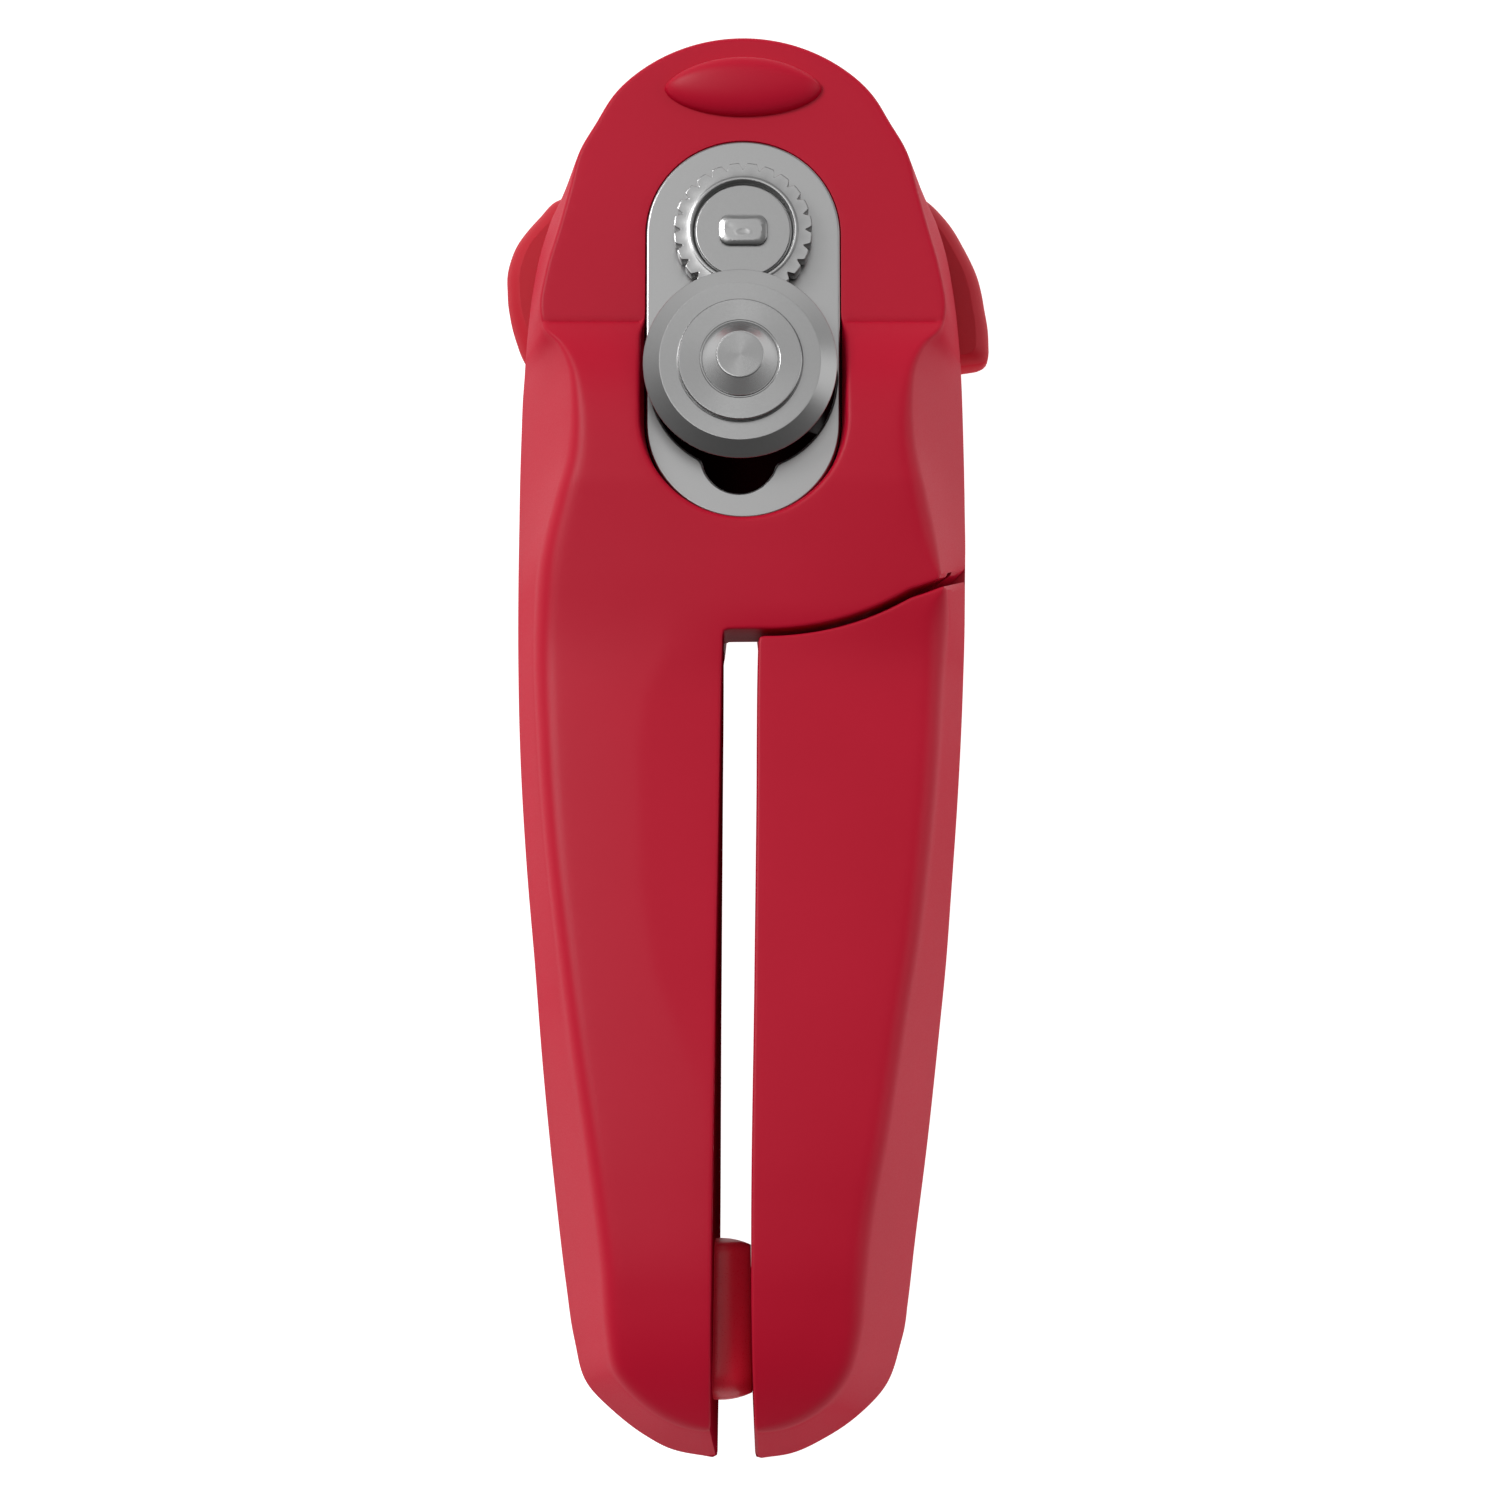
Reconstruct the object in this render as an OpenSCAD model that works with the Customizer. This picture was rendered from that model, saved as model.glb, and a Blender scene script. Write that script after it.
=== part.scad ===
// Manual can opener, in millimetres.
// A hollow body forms the head and the fixed handle. A hinged lever is the second handle
// and carries the cutting wheel. A knob behind the head turns the toothed feed wheel.
// The origin is the drive shaft's axis at the front face of the steel face plate.
// +Z points out of the front face and +Y points to the nose of the head.

/* [Body] */
// Radius of the round head at the parting level, where the body is widest
head_r = 25.5; // [25.2:0.1:26]
// Height of the head circle's centre above the drive shaft
head_y = 4.7; // [4.4:0.1:5]
// Wall thickness of the moulded shells
wall = 2.2; // [1.8:0.1:2.4]
// Thickness of the moulded front faces
skin = 2.6; // [2.2:0.1:2.8]
// Level of the parting line between the front and rear shells
parting_z = -16; // [-17:0.5:-15]
// Level of the flat back of the head
head_back_z = -21; // [-21.5:0.5:-20.5]
// Level of the flat back of the handles
handle_back_z = -24; // [-25:0.5:-23.5]
// Height of the front face of the head
face_z = -0.3; // [-0.5:0.1:-0.1]
// Distance from the drive shaft down to the rim stop, the crease across the head
rim_stop = 11.5; // [11:0.1:12]
// Inward lean of the side walls from the parting line up to the front
side_lean = 9.5; // [8:0.5:10]

/* [Handles] */
// Width of the slot between the handles, at its top
slot_w = 4.5; // [4.3:0.1:4.8]
// Distance from the drive shaft down to the top of the slot
slot_top = 53.3; // [53:0.1:53.6]
// Gap between the body and the lever along the curved joint line
joint_gap = 1; // [0.8:0.1:1.2]
// Angle through which the lever opens
lever_open = 39.5; // [36:0.5:40]

/* [Face plate] */
// Width of the steel plate
plate_w = 25.7; // [25.5:0.1:25.9]
// Length of the steel plate
plate_len = 51.5; // [51:0.1:52]
// Thickness of the steel plate
plate_t = 1.2; // [1:0.1:1.3]

/* [Wheels] */
// Tip radius of the toothed feed wheel
feed_r = 9.15; // [9:0.05:9.3]
// Number of teeth on the feed wheel
feed_teeth = 24; // [22:1:26]
// Radius of the cutting wheel
cutter_r = 12.75; // [12.5:0.05:12.8]
// Level of the cutting edge in front of the face plate
cutter_z = 4.8; // [4.6:0.1:5.2]
// Radius of the drive shaft
shaft_r = 4; // [3.9:0.05:4.1]

/* [Knob] */
// Half of the knob's span
knob_reach = 33.7; // [33.2:0.1:34.2]
// Level of the knob's front edge
knob_front_z = -25.5; // [-26:0.1:-25]
// Thickness of the knob
knob_t = 17; // [16:0.5:18]

/* [Hidden] */
$fn = 64;

fit = 0.05;                       // clearance between pieces that sit in one another
plate_end_r = plate_w / 2;
plate_top_y = 13.25 - plate_end_r;
plate_low_y = 13.25 - plate_len + plate_end_r;
cutter_xy = [-0.4, -18.6];        // cutting wheel's axis with the lever closed
pivot_xy = [15.4, -24.3];         // lever's pivot
slot_x = -2.6;                    // left wall of the slot
slot_end_y = -slot_top;
tip_y = -160.2;
far = 90;                         // reach of cutting shapes past the object

// Outline at the parting level: the head's arc, then hand-set points down each side.
// Points on a side are [half width, y].
left_side = [[25.9, 8.6], [27.4, 3.5], [29.1, -8], [30, -24], [30.2, -42], [29.9, -60], [29.2, -78],
             [27.7, -95], [26.1, -112], [24.3, -129], [22.3, -143], [20.3, -150.4],
             [15.6, -155.1], [8.4, -158.9]];
right_side = [[25.9, 8.6], [27.4, 3.5], [29, -8], [29.7, -24], [29.8, -42], [29.4, -60], [28.4, -78],
              [26.9, -95], [25, -112], [22.9, -129], [21, -143], [18.9, -150.4],
              [14.1, -155.1], [7, -158.9]];
// The head is a little narrower than a circle at its shoulders
shoulder_cut = 0.5;
function head_radius(a) = head_r - shoulder_cut * exp(-pow((min(a, 180 - a) - 28) / 20, 2));
head_arc = [for (a = [165:-15:15]) head_radius(a) * [cos(a), sin(a)] + [0, head_y]];
outline_knots = concat([[0, tip_y]],
                       [for (i = [len(left_side) - 1:-1:0]) [-left_side[i][0], left_side[i][1]]],
                       head_arc, right_side);

// Point at t between b and c on a Catmull-Rom curve through a, b, c and d
function curve_point(a, b, c, d, t) =
    0.5 * (2 * b + (c - a) * t + (2 * a - 5 * b + 4 * c - d) * t * t
           + (3 * b - a - 3 * c + d) * t * t * t);
function smooth_loop(p, steps) =
    [for (i = [0:len(p) - 1]) for (s = [0:steps - 1])
        curve_point(p[(i + len(p) - 1) % len(p)], p[i], p[(i + 1) % len(p)],
                    p[(i + 2) % len(p)], s / steps)];
function unit(v) = v / norm(v);
// A clockwise loop moved inwards by d
function inset_loop(p, d) =
    [for (i = [0:len(p) - 1])
        let (t = unit(p[(i + 1) % len(p)] - p[(i + len(p) - 1) % len(p)]))
        p[i] + d * [t[1], -t[0]]];
function at_level(p, z) = [for (q = p) [q[0], q[1], z]];

outline = smooth_loop(outline_knots, 3);
front_lift = 8;                   // level above every front face
lean_at = function (z) (z - parting_z) * tan(side_lean);

// Front face along the object's length, as [y, z]: head, rim stop, rise, dip, handle crest, tip
front_knots = [[-34, 4.5], [-45, 3.4], [-56, 2.4], [-70, 3.4], [-90, 5], [-110, 6.1], [-127, 6.4],
               [-140, 5.6], [-150, 3.2], [-157, -1], [-163, -7]];
rise_knots = [for (s = [0:0.2:0.99])
    [-rim_stop - s * (34 - rim_stop), face_z + (4.5 - face_z) * (1 - pow(1 - s, 2.2))]];
front_curve = concat([[40, face_z]], rise_knots, open_curve(front_knots, 3));
back_curve = [[-170, handle_back_z], [-46, handle_back_z], [-40, head_back_z], [40, head_back_z]];
function open_curve(p, steps) =
    concat([for (i = [0:len(p) - 2]) for (s = [0:steps - 1])
               curve_point(p[max(i - 1, 0)], p[i], p[i + 1], p[min(i + 2, len(p) - 1)],
                           s / steps)],
           [p[len(p) - 1]]);

// Radius of the curved joint line about the pivot, a degrees to the left of straight down
function joint_r(a) = let (u = max(0, a + 14.6)) 25.8 + 0.13 * u + 0.0015 * u * u;
function joint_point(a, gap) =
    pivot_xy + (joint_r(a) - gap) * [-sin(a), -cos(a)];
joint_start = 25;                 // the joint line starts at the slot and runs off to the right
joint_end = -70;

body_screws = [[-18, 8], [-21, -36], [-15.5, -92], [-11.5, -142]];
lever_screws = [[13.5, -112], [10.5, -143]];
arm_rivet_xy = [[8.5, -66], [10.5, -86]];
screw_r = 1.5;
screw_head_r = 2.7;
boss_r = 3.4;
screw_seat = 3.2;                 // depth of a screw head's seat in a rear shell

arm_t = 2.4;
arm_top_z = -3.4;
arm_low_z = arm_top_z - arm_t;
pivot_r = 2.5;
axle_r = 2.5;
bush_r = 6.4;
feed_back_z = 0.8;
feed_front_z = 3.6;
disc_z = 2.4;
shaft_low_z = -38;
knob_back_z = knob_front_z - knob_t;
bumper_r = 5;
bumper_end_r = 8.9;               // domes its two ends
bumper_y = [-132.3, -153];
bumper_x = -2.1;
bumper_flat_x = 0.9;              // stays clear of the closed lever
bumper_z = -5;
relief_z = -6.5;
relief_len = 4.8;

red = [0.72, 0.07, 0.13];
steel = [0.72, 0.72, 0.71];
bronze = [0.66, 0.5, 0.3];

// ---- shared shapes ----

// Solid through rings of points, lowest ring first, each ring clockwise seen from above
module ring_loft(rings) {
    n = len(rings[0]);
    last = (len(rings) - 1) * n;
    sides = [for (k = [0:len(rings) - 2]) for (i = [0:n - 1]) for (half = [0, 1])
        let (a = k * n + i, b = k * n + (i + 1) % n)
        half == 0 ? [a, b, b + n] : [a, b + n, a + n]];
    base = [for (i = [n - 1:-1:0]) i];
    top = [for (i = [0:n - 1]) last + i];
    polyhedron([for (r = rings) each r], concat(sides, [base], [top]));
}

// The whole opener's outer form, both handles in one, moved inwards by d
module outer_form(d) {
    ring_loft([at_level(inset_loop(outline, 6 + d), handle_back_z),
               at_level(inset_loop(outline, 2.4 + d), handle_back_z + 1.8),
               at_level(inset_loop(outline, 0.6 + d), handle_back_z + 4.5),
               at_level(inset_loop(outline, d), parting_z),
               at_level(inset_loop(outline, lean_at(front_lift) + d), front_lift)]);
}

// Everything between the front and back faces, each face moved inwards
module side_profile(front_inset, back_inset) {
    rotate([90, 0, 90])
        linear_extrude(height = 2 * far, center = true)
            polygon(concat([for (p = front_curve) [p[0], p[1] - front_inset]],
                           [for (p = back_curve) [p[0], p[1] + back_inset]]));
}

module plan_cut() {
    translate([0, 0, -far])
        linear_extrude(height = 2 * far)
            children();
}

// Plan of the head and fixed handle. The cavity's plan keeps a wall beside the slot
// and along the joint line.
module body_plan(wall_t = 0) {
    reach = joint_gap + wall_t;
    polygon(concat([[slot_x - 0.6 - wall_t, -200], [slot_x - wall_t, slot_end_y + wall_t],
                    [slot_x + slot_w - 1, slot_end_y + wall_t]],
                   [for (a = [joint_start:-3:joint_end]) joint_point(a, reach)],
                   [[far, far], [-far, far], [-far, -200]]));
}

module lever_plan(wall_t = 0) {
    polygon(concat([[1.1 + wall_t, -200],
                    [slot_x + slot_w + wall_t, -54.6 - wall_t]],
                   [for (a = [joint_start - 2 - 4 * wall_t:-3:joint_end])
                       joint_point(a, -wall_t)],
                   [[far, -60], [far, -200]]));
}

module above(z) {
    translate([-far, -2 * far, z])
        cube([2 * far, 3 * far, far]);
}

module below(z) {
    translate([-far, -2 * far, z - far])
        cube([2 * far, 3 * far, far]);
}

module post(xy, r, z_low, z_high) {
    translate([xy[0], xy[1], z_low])
        cylinder(r = r, h = z_high - z_low);
}

module ring(xy, r_out, r_in, z_low, z_high) {
    difference() {
        post(xy, r_out, z_low, z_high);
        post(xy, r_in, z_low - 1, z_high + 1);
    }
}

module obround(r, y_top, y_low, z_low, z_high) {
    translate([0, 0, z_low])
        linear_extrude(height = z_high - z_low)
            union() {
                translate([0, y_top]) circle(r = r);
                translate([0, y_low]) circle(r = r);
                translate([-r, y_low]) square([2 * r, y_top - y_low]);
            }
}

// Round bar with two flats, its long side along X
module double_flat(r, half_h, z_low, z_high) {
    intersection() {
        post([0, 0], r, z_low, z_high);
        translate([-2 * r, -half_h, z_low - 1])
            cube([4 * r, 2 * half_h, z_high - z_low + 2]);
    }
}

module shell_form(plan_id) {
    difference() {
        intersection() {
            outer_form(0);
            side_profile(0, 0);
            plan_cut() {
                if (plan_id == "body") body_plan();
                if (plan_id == "lever") lever_plan();
            }
        }
        if (plan_id == "body") slot_relief(0);
    }
}

module shell_cavity(plan_id) {
    difference() {
        intersection() {
            outer_form(wall);
            side_profile(skin, wall);
            plan_cut() {
                if (plan_id == "body") body_plan(wall);
                if (plan_id == "lever") lever_plan(wall);
            }
        }
        if (plan_id == "body") slot_relief(wall);
    }
}

// Behind its front edge the top of the slot is set further back
module slot_relief(grow) {
    translate([slot_x - grow, slot_end_y - 2, relief_z + grow - far])
        cube([slot_w + 2 * grow, relief_len + 2 + grow, far]);
}

// Lens-shaped pad on the nose that rests on the can's wall
module nose_pad() {
    half_len = 10.4;
    half_h = 4.1;
    arc_r = (half_len * half_len + half_h * half_h) / (2 * half_h);
    translate([0, 20.7, face_z - 1.5])
        rotate([0, 90, 0])
            rotate_extrude()
                intersection() {
                    translate([half_h - arc_r, 0]) circle(r = arc_r, $fn = 180);
                    translate([0, -half_len]) square([half_h + 1, 2 * half_len]);
                }
}

module bumper_form(grow) {
    mid = (bumper_y[0] + bumper_y[1]) / 2;
    half = (bumper_y[0] - bumper_y[1]) / 2 - bumper_end_r;
    translate([bumper_x, mid, bumper_z])
        intersection() {
            rotate([90, 0, 0]) cylinder(r = bumper_r + grow, h = far, center = true);
            union() {
                for (s = [-1, 1]) translate([0, s * half, 0]) sphere(r = bumper_end_r + grow);
                rotate([90, 0, 0]) cylinder(r = bumper_end_r + grow, h = 2 * half, center = true);
            }
            translate([bumper_flat_x - bumper_x - 2 * far, -far, -far]) cube(2 * far);
        }
}

module seated_screw(xy, back_z, z_tip) {
    difference() {
        post(xy, screw_head_r - fit, back_z + 0.6, back_z + screw_seat);
        translate([xy[0] - 2, xy[1] - 0.4, back_z - 1]) cube([4, 0.8, 2.4]);
        translate([xy[0] - 0.4, xy[1] - 2, back_z - 1]) cube([0.8, 4, 2.4]);
    }
    post(xy, screw_r, back_z + screw_seat - 0.01, z_tip);
}

// ---- head and fixed handle ----

module main_body() {
    color(red) {
        difference() {
            intersection() {
                shell_form("body");
                above(parting_z);
            }
            difference() {
                shell_cavity("body");
                for (p = body_screws) post(p, boss_r, parting_z, front_lift);
                post([0, 0], 9, -9, front_lift);
                post(pivot_xy, 5, arm_top_z + 0.4, front_lift);
                obround(plate_end_r + 1.6, plate_top_y, plate_low_y, -plate_t - 1.7, front_lift);
            }
            obround(plate_end_r + 0.1, plate_top_y, plate_low_y, -plate_t, far);
            intersection() {
                obround(plate_end_r - 2, plate_top_y, plate_low_y, -9, 1);
                translate([-far, -2 * far - 9.6, -10]) cube([2 * far, 2 * far, 20]);
            }
            post([0, 0], bush_r + fit, -far, far);
            post(pivot_xy, pivot_r + fit, -far, -1.5);
            for (p = body_screws) post(p, screw_r + fit, parting_z - 1, -6);
            bumper_form(2 * fit);
            for (x = [-9, 9]) post([x, 4], 1.2 + fit, -3.2, 0);
            arm_sweep();
        }
        nose_pad();
    }
}

// Slot through the wall along the joint line, as wide as the cutter arm's swing
module arm_sweep() {
    translate([pivot_xy[0], pivot_xy[1], arm_low_z - 0.5])
        linear_extrude(height = arm_t + 0.9)
            polygon([for (q = [[10, -128], [45, -128], [60, -93], [45, -58], [10, -58]])
                q[0] * [cos(q[1]), sin(q[1])]]);
}

module rear_cover() {
    color(red)
        difference() {
            intersection() {
                shell_form("body");
                below(parting_z);
            }
            difference() {
                shell_cavity("body");
                for (p = body_screws) post(p, boss_r + 0.8, -far, parting_z);
                post([0, 0], 9, -far, parting_z);
                post(pivot_xy, 5.5, -far, parting_z);
            }
            post([0, 0], bush_r + fit, -far, 0);
            post(pivot_xy, pivot_r + fit, head_back_z + 2, 0);
            for (p = body_screws) {
                post(p, screw_r + 0.15, -far, 0);
                post(p, screw_head_r, -far, screw_back(p) + screw_seat);
            }
        }
}

function screw_back(p) = p[1] > -41 ? head_back_z : handle_back_z;

module face_plate() {
    color(steel) {
        difference() {
            obround(plate_end_r, plate_top_y, plate_low_y, -plate_t, 0);
            post([0, 0], 5.4, -plate_t - 1, 1);
            post([0, -19.5], 12.2, -plate_t - 1, 1);
            post([-0.5, -30], 4.9, -plate_t - 1, 1);
        }
        for (x = [-9, 9]) post([x, 4], 1.2, -3.1, -plate_t / 2);
    }
}

module front_bush() {
    color(bronze) ring([0, 0], bush_r, shaft_r + fit, -9, -plate_t);
}

module rear_bush() {
    color(bronze) {
        ring([0, 0], bush_r, shaft_r + fit, head_back_z, parting_z);
        ring([0, 0], 7.6, shaft_r + fit, head_back_z - 0.6, head_back_z);
    }
}

module cover_screws() {
    color(steel)
        for (p = body_screws) seated_screw(p, screw_back(p), -7);
}

module handle_bumper() {
    color([0.6, 0.05, 0.1])
        intersection() {
            bumper_form(0);
            translate([-6.4, -2 * far, -far]) cube([far, 2 * far, 2 * far]);
        }
}

module pivot_pin() {
    color(steel) {
        post(pivot_xy, pivot_r, head_back_z + 2, -1.6);
    }
}

module pivot_clip() {
    color(steel) ring(pivot_xy, 4.6, pivot_r + fit, -11, -10.2);
}

// ---- drive ----

module drive_shaft() {
    color(steel)
        difference() {
            union() {
                post([0, 0], shaft_r, head_back_z - 1.4, 0.1);
                double_flat(3.2, 2.05, 0.05, feed_front_z - 0.5);
                intersection() {
                    double_flat(3.2, 2.05, feed_front_z - 0.51, feed_front_z + 0.3);
                    translate([0, 0, feed_front_z - 6.9]) sphere(r = 7.2, $fn = 120);
                }
                double_flat(shaft_r, 2.9, shaft_low_z, head_back_z - 1.39);
            }
            post([0, 0], 1.7, shaft_low_z - 1, shaft_low_z + 11);
        }
}

module feed_wheel() {
    root_r = feed_r - 1.25;
    pitch = 360 / feed_teeth;
    color(steel)
        difference() {
            translate([0, 0, feed_back_z])
                linear_extrude(height = feed_front_z - feed_back_z)
                    polygon([for (i = [0:feed_teeth - 1])
                        for (q = [[0, root_r], [0.42, feed_r], [0.58, feed_r]])
                            let (a = (i + q[0]) * pitch) q[1] * [cos(a), sin(a)]]);
            double_flat(3.25, 2.1, -1, far);
            translate([0, 0, disc_z]) cylinder(r1 = 6.3, r2 = 7.3, h = feed_front_z - disc_z + 0.01);
        }
}

module retaining_disc() {
    color(steel)
        difference() {
            post([0, 0], 6.2, disc_z, disc_z + 0.6);
            double_flat(3.25, 2.1, -1, far);
        }
}

module thrust_washer() {
    color(steel)
        difference() {
            post([0, 0], 6.6, 0.1, feed_back_z);
            double_flat(3.25, 2.1, -1, far);
        }
}

// Knob's outline, clockwise: two wings with straight flanks between, the right one squarer
knob_outline = smooth_loop([[24.4, 13.8], [27.7, 10.6], [30.3, 6.3], [32.2, 2], [33.2, -2.6],
                            [knob_reach, -7], [33.3, -9.6], [29.6, -10.6], [24, -12],
                            [16, -13], [0, -13], [-16, -13], [-22, -13.3], [-27.6, -12],
                            [-30.7, -8], [-32.2, -3.6], [-32.6, 0.8], [-31.8, 5.2], [-29.8, 8.7],
                            [-27.2, 12.4], [-22.5, 14], [-15, 13.2], [0, 13.2], [15, 13.2],
                            [20, 14]], 2);
// Levels of the knob's rings above its back, each with its share of the outline along X and Y
knob_rings = [[0, 0.56, 0.66], [0.7, 0.65, 0.73], [3, 0.79, 0.81], [6, 0.91, 0.89],
              [9, 0.975, 0.96], [11.5, 1, 1], [knob_t - 2.1, 1, 1], [knob_t - 0.8, 0.98, 0.965],
              [knob_t, 0.945, 0.9]];

module knob() {
    color(red)
        difference() {
            union() {
                ring_loft([for (q = knob_rings)
                    [for (p = knob_outline) [p[0] * q[1], p[1] * q[2], knob_back_z + q[0]]]]);
                post([0, 0], 9, knob_front_z - 0.5, knob_front_z + 2);
            }
            double_flat(shaft_r + fit, 2.9 + fit, shaft_low_z, 0);
            post([0, 0], 2.2, -far, shaft_low_z + 1);
            post([0, 0], 6.5, -far, shaft_low_z - 0.6);
        }
}

module knob_washer() {
    color(steel) ring([0, 0], 5.6, 2.3, shaft_low_z - 1.4, shaft_low_z - 0.6);
}

module knob_screw() {
    color(steel)
        difference() {
            union() {
                post([0, 0], 3.6, shaft_low_z - 3.2, shaft_low_z - 1.4);
                post([0, 0], 1.65, shaft_low_z - 1.5, shaft_low_z + 10);
            }
            translate([-2.4, -0.45, shaft_low_z - 4]) cube([4.8, 0.9, 1.8]);
            translate([-0.45, -2.4, shaft_low_z - 4]) cube([0.9, 4.8, 1.8]);
        }
}

module knob_cap() {
    color(red) {
        post([0, 0], 6.5 - fit, knob_back_z, knob_back_z + 0.9);
    }
}

// ---- lever ----

module lever_front() {
    color(red)
        difference() {
            intersection() {
                shell_form("lever");
                above(parting_z);
            }
            difference() {
                shell_cavity("lever");
                for (p = lever_screws) post(p, boss_r, parting_z, front_lift);
                for (p = arm_rivet_xy) post(p, boss_r, arm_top_z, front_lift);
            }
            arm_path(0.3, arm_low_z - 0.3, arm_top_z + 0.02);
            for (p = lever_screws) post(p, screw_r + fit, parting_z - 1, -6);
            for (p = arm_rivet_xy) post(p, screw_r + fit, arm_top_z - 1, 0);
        }
}

module lever_rear() {
    color(red)
        difference() {
            intersection() {
                shell_form("lever");
                below(parting_z);
            }
            difference() {
                shell_cavity("lever");
                for (p = lever_screws) post(p, boss_r + 0.8, -far, parting_z);
            }
            for (p = lever_screws) {
                post(p, screw_r + 0.15, -far, 0);
                post(p, screw_head_r, -far, handle_back_z + screw_seat);
            }
        }
}

// Plan of the steel arm: from the cutter's axle to the pivot, then down into the lever
module bar_between(a, b, half_w) {
    t = unit(b - a);
    s = half_w * [-t[1], t[0]];
    polygon([a - s, b - s, b + s, a + s]);
}

module arm_plan(grow) {
    bend = [6.2, -47];
    union() {
        circle_at(cutter_xy, 5 + grow);
        circle_at(pivot_xy, 5.6 + grow);
        circle_at(bend, 3.7 + grow);
        circle_at(arm_rivet_xy[0], 3.9 + grow);
        circle_at(arm_rivet_xy[1], 3.9 + grow);
        bar_between(cutter_xy, pivot_xy, 3.6 + grow);
        bar_between(pivot_xy, bend, 3.5 + grow);
        bar_between(bend, arm_rivet_xy[0], 3.4 + grow);
        bar_between(arm_rivet_xy[0], arm_rivet_xy[1], 3.4 + grow);
    }
}

module circle_at(xy, r) {
    translate(xy) circle(r = r);
}

module arm_path(grow, z_low, z_high) {
    translate([0, 0, z_low])
        linear_extrude(height = z_high - z_low)
            arm_plan(grow);
}

module cutter_arm() {
    color(steel)
        difference() {
            arm_path(0, arm_low_z, arm_top_z);
            post(pivot_xy, 3.6 + fit, -far, far);
            post(cutter_xy, axle_r + fit, -far, far);
            for (p = arm_rivet_xy) post(p, screw_r + fit, -far, far);
        }
}

module arm_rivets() {
    color(steel)
        for (p = arm_rivet_xy) {
            post(p, 2.6, arm_low_z - 1.2, arm_low_z);
            post(p, screw_r, arm_low_z - 0.01, -0.4);
        }
}

module pivot_bush() {
    color(bronze) {
        ring(pivot_xy, 3.6, pivot_r + fit, -9.8, arm_top_z);
        ring(pivot_xy, 5, pivot_r + fit, -9.8, arm_low_z);
    }
}

module lever_screws() {
    color(steel)
        for (p = lever_screws) seated_screw(p, handle_back_z, -7);
}

module cutter_axle() {
    boss_base_z = cutter_z + 2.6;
    color(steel)
        translate([cutter_xy[0], cutter_xy[1], 0]) {
            translate([0, 0, boss_base_z]) cylinder(r1 = 5, r2 = 3.05, h = 2.2);
            translate([0, 0, arm_low_z - 0.8]) cylinder(r = axle_r, h = boss_base_z + 0.8 - arm_low_z);
            translate([0, 0, arm_low_z - 1.6]) cylinder(r1 = 3, r2 = 4, h = 1.6);
        }
}

module cutter_spacer() {
    color(steel) ring(cutter_xy, 4.2, axle_r + fit, arm_top_z, cutter_z - 1.7);
}

// ---- cutting wheel ----

module cutting_wheel() {
    flat_r = 10.6;
    color(steel)
        translate([cutter_xy[0], cutter_xy[1], 0])
            rotate_extrude($fn = 120)
                polygon([[axle_r + fit, cutter_z - 0.6], [6.4, cutter_z - 0.6],
                         [8, cutter_z - 0.2], [cutter_r, cutter_z - 0.1],
                         [cutter_r, cutter_z + 0.05],
                         [flat_r, cutter_z + 1.5], [axle_r + fit, cutter_z + 1.5]]);
}

module step_disc() {
    color(steel)
        ring(cutter_xy, 8.15, axle_r + fit, cutter_z + 1.5, cutter_z + 2.5);
}

module spring_washer() {
    color(steel)
        translate([cutter_xy[0], cutter_xy[1], 0])
            rotate_extrude()
                polygon([[axle_r + fit, cutter_z - 1.6], [axle_r + fit, cutter_z - 1.2],
                         [6, cutter_z - 0.6], [6, cutter_z - 1]]);
}

main_body();
rear_cover();
face_plate();
front_bush();
rear_bush();
cover_screws();
handle_bumper();
pivot_pin();
pivot_clip();
drive_shaft();
feed_wheel();
retaining_disc();
thrust_washer();
knob();
knob_washer();
knob_screw();
knob_cap();
lever_front();
lever_rear();
cutter_arm();
arm_rivets();
pivot_bush();
lever_screws();
cutter_axle();
cutter_spacer();
cutting_wheel();
step_disc();
spring_washer();
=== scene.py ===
# Manual can opener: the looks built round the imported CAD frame. Lengths are in mm until a mesh is made.
import math

import bmesh
import bpy
import numpy as np
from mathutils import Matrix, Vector
from mathutils.geometry import delaunay_2d_cdt


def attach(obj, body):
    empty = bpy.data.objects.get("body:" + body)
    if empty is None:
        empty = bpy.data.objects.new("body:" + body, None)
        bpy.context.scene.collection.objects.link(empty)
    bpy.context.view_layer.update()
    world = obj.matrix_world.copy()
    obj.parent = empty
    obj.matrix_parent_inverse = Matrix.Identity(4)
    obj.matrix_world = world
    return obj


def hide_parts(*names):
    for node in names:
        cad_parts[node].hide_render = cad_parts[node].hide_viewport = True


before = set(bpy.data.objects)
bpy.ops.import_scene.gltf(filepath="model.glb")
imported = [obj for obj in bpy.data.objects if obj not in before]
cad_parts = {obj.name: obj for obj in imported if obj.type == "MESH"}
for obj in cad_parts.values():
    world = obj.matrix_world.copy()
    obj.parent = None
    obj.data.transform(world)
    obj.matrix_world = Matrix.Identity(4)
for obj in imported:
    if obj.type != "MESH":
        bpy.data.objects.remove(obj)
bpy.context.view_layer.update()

MM = 0.001

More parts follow.
